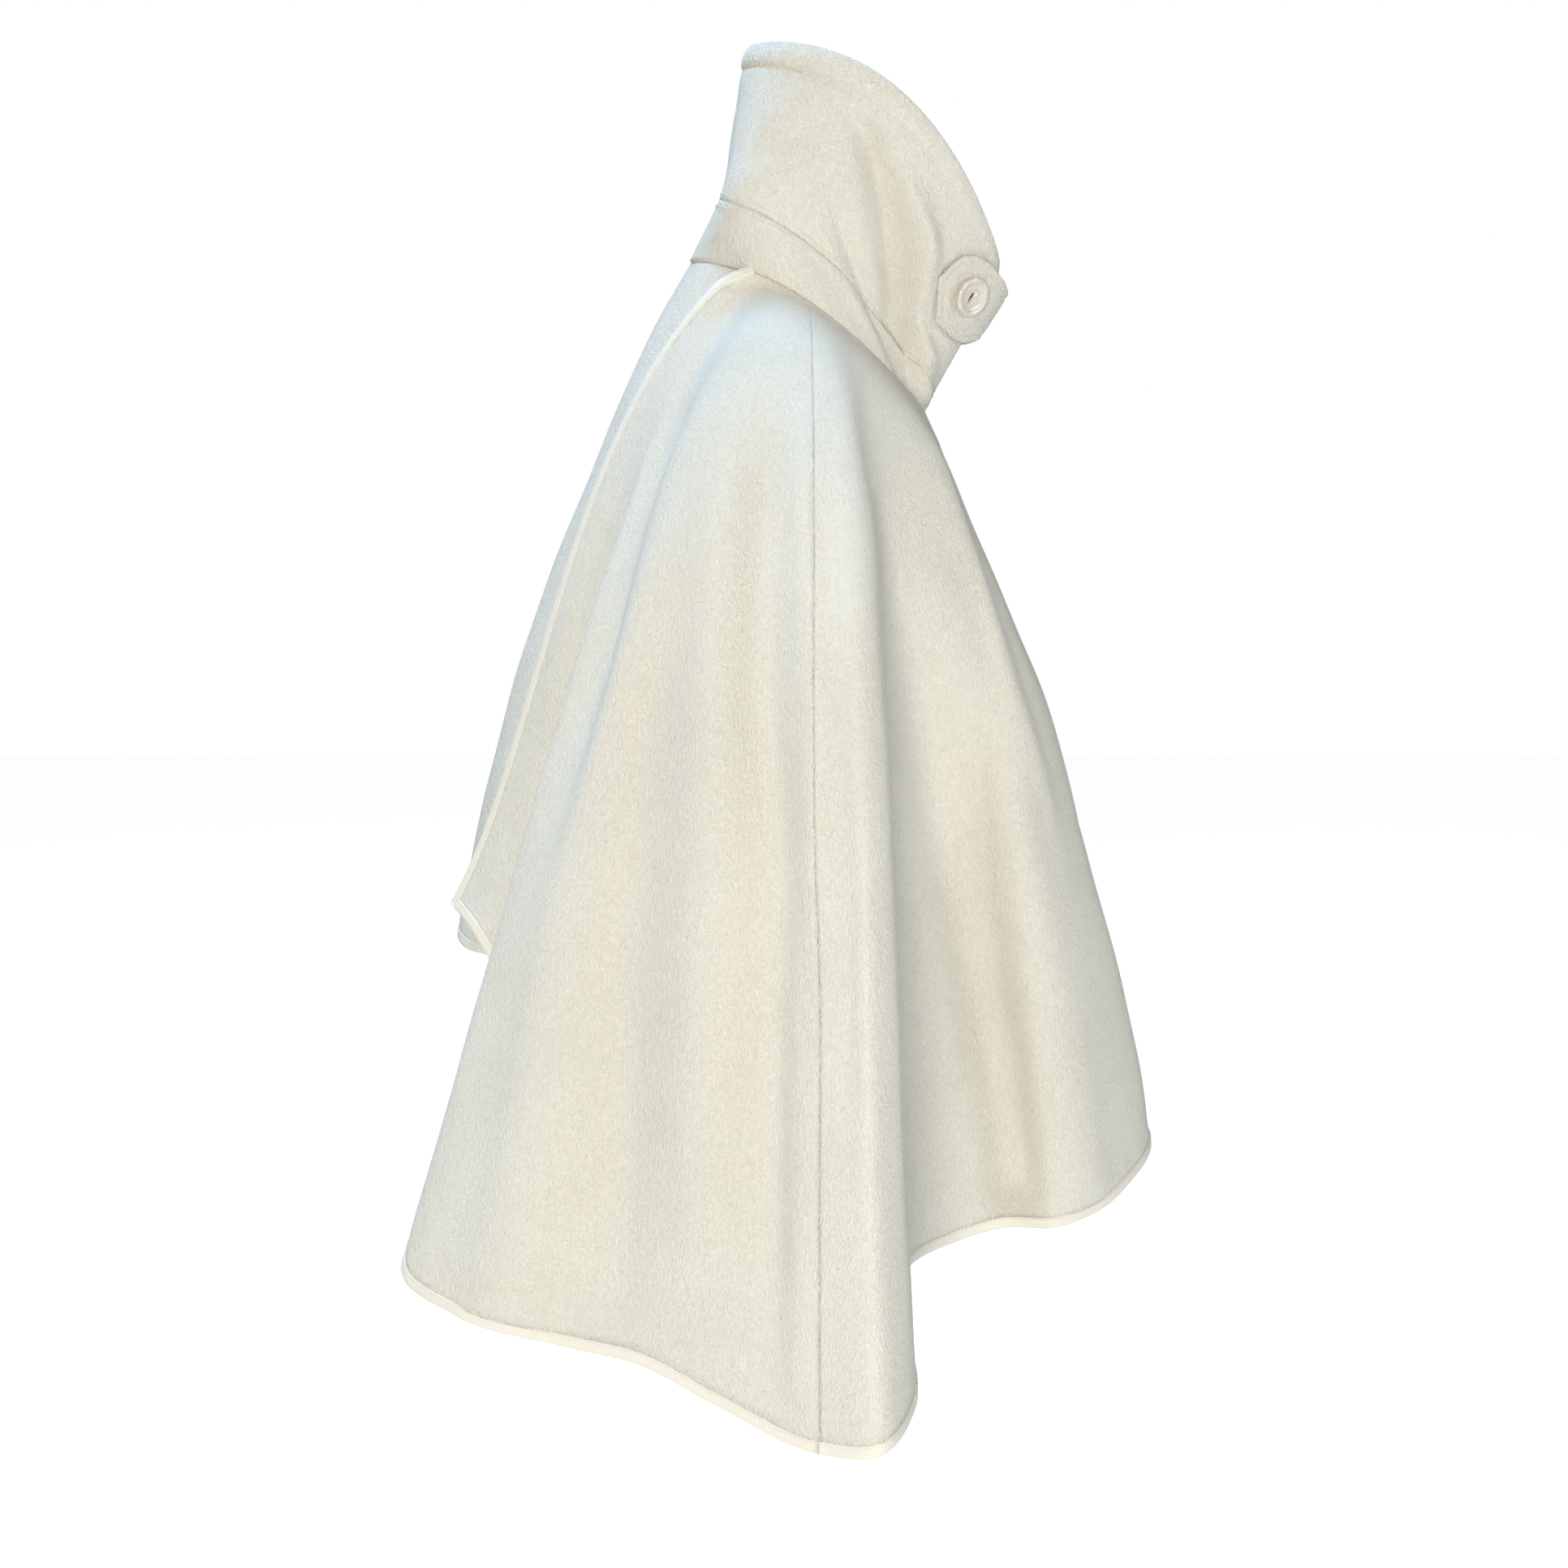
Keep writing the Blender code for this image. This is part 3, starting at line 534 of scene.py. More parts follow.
def shellFaces(columns, rows, flip=False):
    # Faces of a closed sheet: the outer grid, the inner grid, and the strips that join them
    count = columns * rows
    outer = gridFaces(columns, rows, 0, flip)
    inner = gridFaces(columns, rows, count, not flip)
    rim = list(range(0, columns * rows, rows))
    rim += list(range((columns - 1) * rows + 1, columns * rows))
    rim += list(range((columns - 2) * rows + rows - 1, rows - 2, -rows))
    rim += list(range(rows - 2, 0, -1))
    rim = np.array(rim)
    after = np.roll(rim, -1)
    edge = np.stack([rim, rim + count, after + count, after], -1)
    if flip:
        edge = edge[:, ::-1]
    return np.concatenate([outer, inner, edge]).tolist()


def shell(name, outer, inner, material, flip=False):
    points = np.concatenate([outer.reshape(-1, 3), inner.reshape(-1, 3)])
    return newObject(name, points, shellFaces(*outer.shape[:2], flip), material)


def tubeFaces(count, sides, order=(0, 1, 2, 3), start=0):
    # Faces of a closed tube of rings, their corners taken in this order, and its two end caps
    ring = np.arange(sides)
    near = start + sides * np.arange(count - 1)[:, None]
    first = near + ring
    second = near + (ring + 1) % sides
    corners = np.stack([first, second, second + sides, first + sides], -1)[..., order]
    caps = [(start + ring).tolist(), (start + (count - 1) * sides + ring).tolist()]
    caps[order[0]].reverse()
    return corners.reshape(-1, 4).tolist() + caps


def makePanel(name, panel, material):
    around, down, places, hem = panelGrid(panel)
    outer = bodyPoint(around, down)
    _, _, out = bodyAxes(around, down)
    out[:, 0] = seamOut(foldTurn(around[:, 0]))
    for end, trim in ((0, panel["trims"][0]), (-1, panel["trims"][1])):
        if trim == "tape":
            inCorner = down[end] < backCorner["down"]
            out[end] = bodyAxes(np.where(inCorner, around[end], places[end]), down[end])[2]
            out[end, 0] = seamOut(foldTurn(around[end, :1]))[0]
    out[:, -1] = bodyAxes(hem, 1.0)[2]
    relief = bodyRelief(around, down)
    fromHem = (1 - down) * panelMesh["rowLength"]
    for end, trim in ((0, panel["trims"][0]), (-1, panel["trims"][1])):
        away = np.linalg.norm(outer - outer[end][None, :], axis=-1)
        along = down * 0.7 + (0.13 if end == 0 else 0)
        if trim == "seam":
            relief = relief + seamDip(away, panelMesh["seamSpread"], panelMesh["seamDepth"], along)
        else:
            relief = relief * smoothStep(0.0, panelMesh["tapeCalm"], away)
    relief = relief * smoothStep(0, panelMesh["neckCalm"], down)
    relief = relief * smoothStep(0, panelMesh["hemCalm"], fromHem)
    outer = outer + relief[..., None] * out
    inner = outer - cape["cloth"] * out
    return shell(name, outer, inner, material)


# Materials
def newGroup(name, inputs):
    # A node group with these inputs, and the three outputs that each cloth here gives
    group = bpy.data.node_groups.new(name, "ShaderNodeTree")
    for label, value in inputs.items():
        kind = "NodeSocketColor" if isinstance(value, tuple) else "NodeSocketFloat"
        socket = group.interface.new_socket(name=label, in_out="INPUT", socket_type=kind)
        socket.default_value = value
    for label, kind in (("Colour", "Color"), ("Height", "Float"), ("Roughness", "Float")):
        group.interface.new_socket(name=label, in_out="OUTPUT", socket_type="NodeSocket" + kind)
    given = group.nodes.new("NodeGroupInput")
    result = group.nodes.new("NodeGroupOutput")
    place = group.nodes.new("ShaderNodeTexCoord").outputs["Object"]
    return group, given.outputs, result.inputs, place


def mathNode(tree, operation, first, second=None):
    node = tree.nodes.new("ShaderNodeMath")
    node.operation = operation
    for socket, value in zip(node.inputs, (first, second)):
        if value is None:
            continue
        if isinstance(value, (int, float)):
            socket.default_value = value
        else:
            tree.links.new(value, socket)
    return node.outputs[0]


def mixColour(tree, factor, first, second, blend="MIX"):
    node = tree.nodes.new("ShaderNodeMix")
    node.data_type = "RGBA"
    node.blend_type = blend
    for socket, value in ((node.inputs[0], factor), (node.inputs[6], first), (node.inputs[7], second)):
        if isinstance(value, (int, float, tuple)):
            socket.default_value = value
        else:
            tree.links.new(value, socket)
    return node.outputs[2]


def noiseNode(tree, vector, scale, detail, roughness=0.5, distortion=0.0):
    node = tree.nodes.new("ShaderNodeTexNoise")
    tree.links.new(vector, node.inputs["Vector"])
    if isinstance(scale, (int, float)):
        node.inputs["Scale"].default_value = scale
    else:
        tree.links.new(scale, node.inputs["Scale"])
    node.inputs["Detail"].default_value = detail
    node.inputs["Roughness"].default_value = roughness
    node.inputs["Distortion"].default_value = distortion
    return node.outputs["Fac"]


def rangeNode(tree, value, low, high, outLow=0.0, outHigh=1.0):
    node = tree.nodes.new("ShaderNodeMapRange")
    tree.links.new(value, node.inputs["Value"])
    for name, number in (("From Min", low), ("From Max", high), ("To Min", outLow), ("To Max", outHigh)):
        node.inputs[name].default_value = number
    return node.outputs["Result"]


def stretched(tree, vector, scale, rotation=(0, 0, 0)):
    node = tree.nodes.new("ShaderNodeMapping")
    tree.links.new(vector, node.inputs["Vector"])
    node.inputs["Scale"].default_value = scale
    node.inputs["Rotation"].default_value = rotation
    return node.outputs["Vector"]


nap = {
    "bent": ((1, 1, 0.60), (0.30, 0.22, 0.0)),  # scale and rotation of the clumps and of the fibres
    "slanted": ((1, 1, 0.34), (0.45, -0.35, 0.0)),
    "clumpShare": 0.55,
    "fibreShare": 0.45,
    "blotchSize": 22.0,
    "blotchShare": 0.10,
    "patchSize": 6.5,
    "patchShare": 0.12,
}
# between: the share of painted shade in the grooves between the tape's ribs
twill = {"stretch": (1, 1, 1.6), "wearSize": 70.0, "wearShare": 0.16, "between": 0.28}


def makeNapGroup():
    # The brushed face of the wool: short fibres laid one way, small clumps, soft blotches, and painted shade
    # that darkens the low parts of the relief between the clumps and fibres
    group, given, result, place = newGroup("brushedNap", {
        "Wool": (0.8, 0.76, 0.66, 1), "Shade": (0.7, 0.66, 0.56, 1), "Clump Size": 260.0,
        "Fibre Size": 900.0, "Hollow Shade": 0.35})
    bent = stretched(group, place, *nap["bent"])
    slanted = stretched(group, place, *nap["slanted"])
    clump = noiseNode(group, bent, given["Clump Size"], 3.0, 0.55, 0.6)
    fibre = noiseNode(group, slanted, given["Fibre Size"], 2.0, 0.6, 0.4)
    broad = noiseNode(group, place, nap["blotchSize"], 3.0, 0.55)
    patch = noiseNode(group, place, nap["patchSize"], 2.0, 0.5)
    clumpMask = rangeNode(group, clump, 0.34, 0.68)
    fibreMask = rangeNode(group, fibre, 0.30, 0.70)
    fine = mathNode(group, "ADD", mathNode(group, "MULTIPLY", clumpMask, nap["clumpShare"]),
                    mathNode(group, "MULTIPLY", fibreMask, nap["fibreShare"]))
    # Painted shade: the colour darkens where the nap's relief is low, in the hollows between clumps and
    # fibres
    shade = mathNode(group, "MULTIPLY", mathNode(group, "SUBTRACT", 1.0, fine), given["Hollow Shade"])
    blotch = mathNode(group, "MULTIPLY", rangeNode(group, broad, 0.40, 0.72), nap["blotchShare"])
    warm = mathNode(group, "MULTIPLY", rangeNode(group, patch, 0.42, 0.66), nap["patchShare"])
    dark = mathNode(group, "ADD", shade, mathNode(group, "ADD", blotch, warm))
    colour = mixColour(group, dark, given["Wool"], given["Shade"])
    group.links.new(colour, result["Colour"])
    group.links.new(fine, result["Height"])
    group.links.new(rangeNode(group, fibre, 0.3, 0.7, 0.86, 0.98), result["Roughness"])
    return group


def makeTwillGroup():
    # Fine ribs across the folded tape, with painted shade darkening the low parts between them
    group, given, result, place = newGroup("tapeWeave", {
        "Tape": (0.8, 0.76, 0.66, 1), "Shade": (0.7, 0.66, 0.56, 1), "Rib Size": 900.0})
    rib = noiseNode(group, stretched(group, place, twill["stretch"]), given["Rib Size"], 2.0, 0.6, 0.2)
    broad = noiseNode(group, place, twill["wearSize"], 3.0, 0.5)
    ribMask = rangeNode(group, rib, 0.34, 0.66)
    wear = rangeNode(group, broad, 0.42, 0.70)
    # Painted shade: the colour darkens between the ribs, where their height is low
    between = mathNode(group, "MULTIPLY", mathNode(group, "SUBTRACT", 1.0, ribMask), twill["between"])
    dark = mathNode(group, "ADD", between, mathNode(group, "MULTIPLY", wear, twill["wearShare"]))
    colour = mixColour(group, dark, given["Tape"], given["Shade"])
    group.links.new(colour, result["Colour"])
    group.links.new(ribMask, result["Height"])
    group.links.new(rangeNode(group, broad, 0.35, 0.7, 0.62, 0.78), result["Roughness"])
    return group


napGroup = makeNapGroup()
twillGroup = makeTwillGroup()


def newMaterial(name):
    material = bpy.data.materials.new(name)
    material.use_nodes = True
    tree = material.node_tree
    return material, tree, tree.nodes["Principled BSDF"]


def speckled(name, size, detail, dark, light, roughness):
    # A material whose colour wanders between two shades
    material, tree, shader = newMaterial(name)
    place = tree.nodes.new("ShaderNodeTexCoord").outputs["Object"]
    colour = mixColour(tree, noiseNode(tree, place, size, detail), dark, light)
    tree.links.new(colour, shader.inputs["Base Color"])
    shader.inputs["Roughness"].default_value = roughness
    return material


def groupMaterial(name, group, values, look):
    # A material that takes its colour, roughness and relief from a shared group
    material, tree, shader = newMaterial(name)
    node = tree.nodes.new("ShaderNodeGroup")
    node.node_tree = group
    for key, value in values.items():
        node.inputs[key].default_value = value
    tree.links.new(node.outputs["Colour"], shader.inputs["Base Color"])
    tree.links.new(node.outputs["Roughness"], shader.inputs["Roughness"])
    bump = tree.nodes.new("ShaderNodeBump")
    bump.inputs["Strength"].default_value = look["relief"]
    bump.inputs["Distance"].default_value = look["depth"]
    tree.links.new(node.outputs["Height"], bump.inputs["Height"])
    tree.links.new(bump.outputs["Normal"], shader.inputs["Normal"])
    shader.inputs["Sheen Weight"].default_value = look["sheen"]
    shader.inputs["Sheen Roughness"].default_value = 0.55
    shader.inputs["Sheen Tint"].default_value = (1.0, 0.97, 0.90, 1)
    shader.inputs["Specular IOR Level"].default_value = look["gloss"]
    return material


wool = {
    "wool": (0.91, 0.88, 0.80, 1),
    "shade": (0.70, 0.665, 0.56, 1),
    "look": {"relief": 0.9, "depth": 0.0014, "sheen": 0.15, "gloss": 0.12},
}
tape = {
    "tape": (0.82, 0.785, 0.70, 1),
    "shade": (0.72, 0.66, 0.54, 1),
    "look": {"relief": 0.25, "depth": 0.0003, "sheen": 0.10, "gloss": 0.25},
}


# The last value sets how much painted shade darkens the hollows of the nap
def woolMaterial(name, clump=520.0, fibre=1300.0, hollowShade=0.58):
    values = {"Wool": wool["wool"], "Shade": wool["shade"], "Clump Size": clump, "Fibre Size": fibre,
              "Hollow Shade": hollowShade}
    return groupMaterial(name, napGroup, values, wool["look"])


def tapeMaterial(name):
    return groupMaterial(name, twillGroup, {"Tape": tape["tape"], "Shade": tape["shade"], "Rib Size": 1100.0},
                         tape["look"])


woolFace = woolMaterial("ivoryNap")
collarFace = woolMaterial("ivoryNapCollar", 540.0, 1350.0, 0.58)
tapeFace = tapeMaterial("creamTape")

made = {}
for name, panel in panels.items():
    made[name] = makePanel(name, panel, woolFace)
    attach(made[name], "root")
    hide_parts(panel["node"])
print("body panels made:", [len(item.data.polygons) for item in made.values()])

# Folded tape over the hems and the free back edges
tapeSection = {"width": cape["tapeWidth"], "proud": cape["tapeProud"], "turnPoints": 7}


def tapeProfile():
    # The tape's section from its outer stitched edge round the cloth's edge to the inner one, as how
    # far in from the edge and how far out of the cloth's face
    width = tapeSection["width"]
    proud = tapeSection["proud"]
    middle = -cape["cloth"] / 2
    half = cape["cloth"] / 2 + proud
    outerLip = [(width, -0.0002), (width, proud * 0.55), (width - 0.0005, proud * 0.92)]
    outerFace = [(width * 0.80, proud * 0.78), (width * 0.72, proud * 0.94), (width * 0.5, proud * 1.08)]
    turn = []
    for k in range(tapeSection["turnPoints"] + 1):
        angle = math.pi / 2 - math.pi * k / tapeSection["turnPoints"]
        turn.append((0.0022 - 0.0022 * math.cos(angle), middle + half * math.sin(angle)))
    innerFace = [(a, 2 * middle - b) for a, b in reversed(outerLip + outerFace)]
    return outerLip + outerFace + turn + innerFace


def sweep(name, profile, edge, inward, out, material, flip, full=None):
    # A closed bar along an edge, its section set square at each point and thinned where full is below 1
    section = np.array(profile)
    middle = -cape["cloth"] / 2
    full = np.ones(len(edge)) if full is None else full
    across = full[:, None] * section[None, :, 0]
    proud = middle + full[:, None] * (section[None, :, 1] - middle)
    points = edge[:, None, :] + across[..., None] * inward[:, None, :] + proud[..., None] * out[:, None, :]
    order = (1, 2, 3, 0) if flip else (0, 3, 2, 1)
    return newObject(name, points, tubeFaces(*points.shape[:2], order), material)


def hemTape(name, panel, material):
    around, down, _, hem = panelGrid(panel)
    _, _, out = bodyAxes(hem, 1.0)
    edge = bodyPoint(hem, 1.0)
    higher = bodyPoint(around[:, -1], down[:, -1])
    inward = unit(higher - edge)
    return sweep(name, tapeProfile(), edge, inward, out, material, False), edge, inward, out


def edgeTape(name, fold, sign, material):
    turn = np.linspace(0, math.pi / 2, backCorner["steps"] + 1)
    below, steps = backCorner["tapeBelow"]
    down = backCorner["start"] + backCorner["down"] * (1 - np.cos(turn))
    down = np.concatenate([down, np.linspace(below, 1, steps)])
    around = np.full_like(down, placeOf(fold))
    farther = bodyPoint(around + shiftFor(around, down, sign * tapeSection["width"]), down)
    inward = unit(farther - bodyPoint(around, down))
    if fold == "backEdge":
        cut = np.zeros_like(down)
        cut[:len(turn)] = backCorner["reach"] * (1 - np.sin(turn))
        around = around + shiftFor(around, down, sign * np.maximum(cut, 1e-6))
    edge = bodyPoint(around, down)
    _, downWay, out = bodyAxes(around, down)
    out[0] = seamOut(foldTurn(around[:1]))[0]
    full = np.ones(len(down))
    if fold == "backEdge":
        thin = backCorner["thinEnd"]
        full[:len(turn)] = thin + (1 - thin) * smoothStep(0, 0.35, turn)
        rise = np.zeros_like(down)
        rise[:len(turn)] = backCorner["rise"] * (1 - np.sin(turn))
        edge = edge - unit(downWay) * rise[:, None]
        square = unit(np.cross(np.gradient(edge, axis=0), out))
        inward = square * np.sign((square * inward).sum(-1).mean())
    return sweep(name, tapeProfile(), edge, inward, out, material, sign < 0, full), edge, inward, out


tapes = {}
tapeLines = {}
for name, panel, node in (("frontHemTape", "frontPanel", "hem_binding_front"),
                          ("rightHemTape", "rightBack", "hem_binding_right"),
                          ("leftHemTape", "leftBack", "hem_binding_left")):
    tapes[name], *tapeLines[name] = hemTape(name, panels[panel], tapeFace)
    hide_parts(node)
for name, fold, sign, node in (("rightEdgeTape", "backEdge", -1, "edge_binding_right"),
                               ("leftEdgeTape", "underEdge", 1, "edge_binding_left")):
    tapes[name], *tapeLines[name] = edgeTape(name, fold, sign, tapeFace)
    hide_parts(node)
for item in tapes.values():
    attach(item, "root")
print("tapes made:", len(tapes))

# Collar
collar = {
    "columns": 300,
    "bandRows": 14,
    "rows": 45,
    "rollRows": 7,
    "crownRows": 8,
    "radius": 0.078,
    "gap": 0.0005,
    "ringSize": 0.06,
    "rollStart": 0.885,
    "rollProud": 0.0016,
    "crownFlat": 0.85,
    "rollSpan": 0.96,  # the roll's share of the way up before its crown starts
    "rollThicker": 0.0010,
    "pucker": 0.0003,
    "puckers": 61,
    "height": 0.14,
    "seamSpread": 0.0042,
    "seamDepth": 0.0004,
    "neckSpread": 0.0022,
    "rollGroove": 0.0010,
    "lapTurns": (118, 130, 138, 176),
    "lapTuck": 0.0036,
}
# Soft creases of the collar: path of (degrees round, part of the way up), half width, height, fade
collarCreases = (
    (((33.8, 0.04), (35.2, 0.20), (38.5, 0.32), (49.5, 0.43), (64.0, 0.57), (84.0, 0.78)),
     0.0118, -0.0175, 0.10),
    (((33.8, 0.03), (34.2, 0.14), (35.6, 0.26)), 0.0030, -0.0030, 0.06),
    (((22.0, 0.06), (24.5, 0.22), (29.0, 0.38), (40.0, 0.54), (58.0, 0.72)), 0.0140, 0.0100, 0.10),
    (((36.8, 0.03), (45.0, 0.16), (56.0, 0.28), (68.0, 0.38)), 0.0070, -0.0058, 0.08),
    (((52.0, 0.06), (62.0, 0.20), (76.0, 0.34), (92.0, 0.48)), 0.0110, 0.0026, 0.10),
    (((-34.0, 0.04), (-37.0, 0.18), (-43.0, 0.32), (-55.0, 0.46), (-72.0, 0.66)), 0.0125, -0.0105, 0.10),
    (((-24.0, 0.08), (-27.0, 0.24), (-34.0, 0.42), (-50.0, 0.64)), 0.0150, 0.0064, 0.10),
    (((-42.0, 0.04), (-51.0, 0.17), (-64.0, 0.30)), 0.0075, -0.0034, 0.08),
    (((118.0, 0.42), (108.0, 0.55), (100.0, 0.70)), 0.014, -0.0016, 0.12),
    (((160.0, 0.30), (166.0, 0.50), (170.0, 0.74)), 0.016, -0.0018, 0.14),
    (((-150.0, 0.34), (-158.0, 0.52), (-160.0, 0.72)), 0.016, -0.0018, 0.14),
)


# Where the collar lies flat under the tab: degrees to each side, degrees wider from a level on and
# over how much of the height, degrees of fading, and the levels where this starts and ends
underTab = {"half": 30, "wider": 11, "from": 0.45, "over": 0.3, "fade": 12, "low": (0.31, 0.41),
            "high": (0.93, 0.89)}
collarWave = {"height": 0.0006, "turns": 3, "lean": 6, "levels": 8, "phase": 0.4}


def signedTurn(turn):
    return (turn + 180) % 360 - 180


def collarRelief(turn, up):
    # How far the collar's cloth stands out of its plain form
    signed = signedTurn(turn)
    relief = creaseRelief(collarCreases, up,
                          lambda line: np.radians(signedTurn(signed - line)) * collar["radius"])
    wave = np.sin(np.radians(collarWave["turns"] * signed) + collarWave["lean"] * up)
    relief += collarWave["height"] * (wave * np.sin(collarWave["levels"] * up + collarWave["phase"]))
    wide = underTab["half"] + underTab["wider"] * np.clip((up - underTab["from"]) / underTab["over"], 0, 1)
    calm = smoothStep(1.0, 0.0, (np.abs(signed) - wide) / underTab["fade"])
    calm = calm * smoothStep(*underTab["low"], up) * smoothStep(*underTab["high"], up)
    return relief * (1 - calm)


def collarTurns():
    start = math.degrees(collar["gap"] / 2 / collar["ringSize"])
    return start + (360 - 2 * start) * np.linspace(0, 1, collar["columns"] + 1)


def makeBand(name, material):
    turns = collarTurns()
    _, neckWay, _ = collarAxes(turns, 0.0)
    _, topWay, _ = collarAxes(turns, bandTop)
    bottom = 0.1 * cape["seamGap"] / np.linalg.norm(neckWay, axis=-1)
    top = bandTop - 0.1 * cape["seamGap"] / np.linalg.norm(topWay, axis=-1)
    part = np.linspace(0, 1, collar["bandRows"] + 1)
    up = bottom[:, None] + (top - bottom)[:, None] * part[None, :]
    turn = np.repeat(turns[:, None], len(part), axis=1)
    outer = collarPoint(turn, up)
    _, _, out = collarAxes(turn, up)
    out[:, 0] = seamOut(turns)
    inner = outer - cape["collarCloth"] * out
    relief = collarRelief(turn, up) * smoothStep(0, 0.03, up)
    fromTop = (bandTop - up) * collar["height"]
    relief = relief + seamDip(fromTop, collar["seamSpread"], collar["seamDepth"], turn / 360)
    neckDip = seamDip(up * collar["height"], collar["neckSpread"], collar["seamDepth"], turn / 360 + 0.3)
    relief = relief + neckDip * smoothStep(0, 0.02, up)
    # the band's lower edge turns in where the left back starts under the lap
    startTurn, fullTurn, easeTurn, endTurn = collar["lapTurns"]
    tuck = smoothStep(startTurn, fullTurn, turn) * (1 - smoothStep(easeTurn, endTurn, turn))
    relief = relief - collar["lapTuck"] * tuck * (1 - smoothStep(0, 0.10, up))
    outer = outer + relief[..., None] * out
    return shell(name, outer, inner, material, True)


def makeCollar(name, material):
    turns = collarTurns()
    _, seamWay, _ = collarAxes(turns, bandTop)
    start = bandTop + 0.1 * cape["seamGap"] / np.linalg.norm(seamWay, axis=-1)
    low = np.linspace(0, 1, collar["rows"] + 1)
    rollStart = collar["rollStart"]
    up = start[:, None] + (rollStart - start)[:, None] * low[None, :]
    turn = np.repeat(turns[:, None], len(low), axis=1)
    outer = collarPoint(turn, up)
    _, _, out = collarAxes(turn, up)
    relief = collarRelief(turn, up) * (1 - smoothStep(0.78, 0.88, up))
    fromSeam = (up - bandTop) * collar["height"]
    relief = relief + seamDip(fromSeam, collar["seamSpread"], collar["seamDepth"], turn / 360)
    groove = bell((rollStart - up) * 0.13, 0.0022)
    relief = relief - collar["rollGroove"] * groove
    inner = outer + (np.minimum(relief, 0) - cape["collarCloth"])[..., None] * out
    inner[:, 0] = outer[:, 0] - cape["collarCloth"] * out[:, 0]
    outer = outer + relief[..., None] * out
    rollPart = np.linspace(0, 1, collar["rollRows"] + 1)[1:]
    rollUp = rollStart + (1 - rollStart) * rollPart * collar["rollSpan"]
    rollTurn = np.repeat(turns[:, None], len(rollUp), axis=1)
    rollOut = collarAxes(rollTurn, rollUp[None, :])[2]
    face = collarPoint(rollTurn, rollUp[None, :])
    puff = collar["rollProud"] * np.sin(np.pi * np.clip(rollPart * 1.08, 0, 1)) ** 0.6
    pucker = collar["pucker"] * np.sin(np.radians(turns) * collar["puckers"])[:, None]
    pucker = pucker * np.sin(np.pi * rollPart)[None, :]
    outerRoll = face + (puff[None, :] + pucker)[..., None] * rollOut
    thickness = cape["collarCloth"] + 2 * puff + collar["rollThicker"] * rollPart
    innerRoll = face - (thickness - puff)[None, :, None] * rollOut
    _, topWay, topOut = collarAxes(turns, 1.0)
    topWay = unit(topWay)
    middle = (outerRoll[:, -1] + innerRoll[:, -1]) / 2
    half = np.linalg.norm(outerRoll[:, -1] - innerRoll[:, -1], axis=-1) / 2
    crown = []
    for k in range(1, collar["crownRows"]):
        angle = math.pi / 2 - math.pi * k / collar["crownRows"]
        rise = topWay * (half * math.cos(angle) * collar["crownFlat"])[:, None]
        crown.append(middle + rise + topOut * (half * math.sin(angle))[:, None])
    crown = np.stack(crown, 1)
    loop = np.concatenate([outer, outerRoll, crown, innerRoll[:, ::-1], inner[:, ::-1]], 1)
    return newObject(name, loop, tubeFaces(*loop.shape[:2]), material)


collarBand = makeBand("collarBand", collarFace)
funnelCollar = makeCollar("funnelCollar", collarFace)
for item, node in ((collarBand, "collar_band"), (funnelCollar, "collar")):
    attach(item, "root")
    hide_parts(node)
print("collar made")

# Throat tab: a padded hexagon that narrows round the front and is sewn down on the far side
tab = {
    "cloth": 0.0045,
    "edgeRound": 0.0026,
    "stitchIn": 0.0046,
    "stitchDip": 0.0007,
    "stitchSpread": 0.0011,
    "edgeThick": 0.12,
    "gather": (0.5, 0.7),  # how far rows and columns gather near the edges, which round over
    "rimPoints": 60,
    "along": 150,
    "across": 44,
}
# Lower and upper corner as degrees round the collar, part of its height and how far they stand off
tabRows = (
    (28.5, 0.430, 0.0006, 38.0, 0.550, 0.0006),
    (23.0, 0.442, 0.0006, 37.0, 0.650, 0.0006),
    (17.0, 0.458, 0.0008, 35.0, 0.735, 0.0006),
    (11.5, 0.482, 0.0014, 30.5, 0.810, 0.0010),
    (6.5, 0.510, 0.0028, 22.0, 0.872, 0.0030),
    (2.8, 0.532, 0.0044, 11.0, 0.880, 0.0072),
    (0.0, 0.545, 0.0055, 0.0, 0.850, 0.0105),
)


def tabTable():
    rows = [list(row) for row in tabRows]
    for row in reversed(tabRows[:-1]):
        rows.append([-row[0], row[1], row[2], -row[3], row[4], row[5]])
    return np.array(rows, float)


def tabFace(along, across):
    # Points of the tab's under face and its outward direction: along and across run from 0 to 1
    table = tabTable()
    at = np.linspace(0, 1, len(table))
    rows = np.stack([np.interp(along, at, table[:, k]) for k in range(6)], -1)
    turn = rows[..., 0] + (rows[..., 3] - rows[..., 0]) * across
    up = rows[..., 1] + (rows[..., 4] - rows[..., 1]) * across
    off = rows[..., 2] + (rows[..., 5] - rows[..., 2]) * across
    _, _, out = collarAxes(turn, up)
    return collarPoint(turn, up) + off[..., None] * out, out


def tabRim():
    # The tab's outline as one closed line
    side = np.linspace(0, 1, tab["rimPoints"])
    ones = np.ones_like(side)
    along = np.concatenate([side, ones, side[::-1], ones * 0])
    across = np.concatenate([ones * 0, side, ones, side[::-1]])
    return tabFace(along, across)


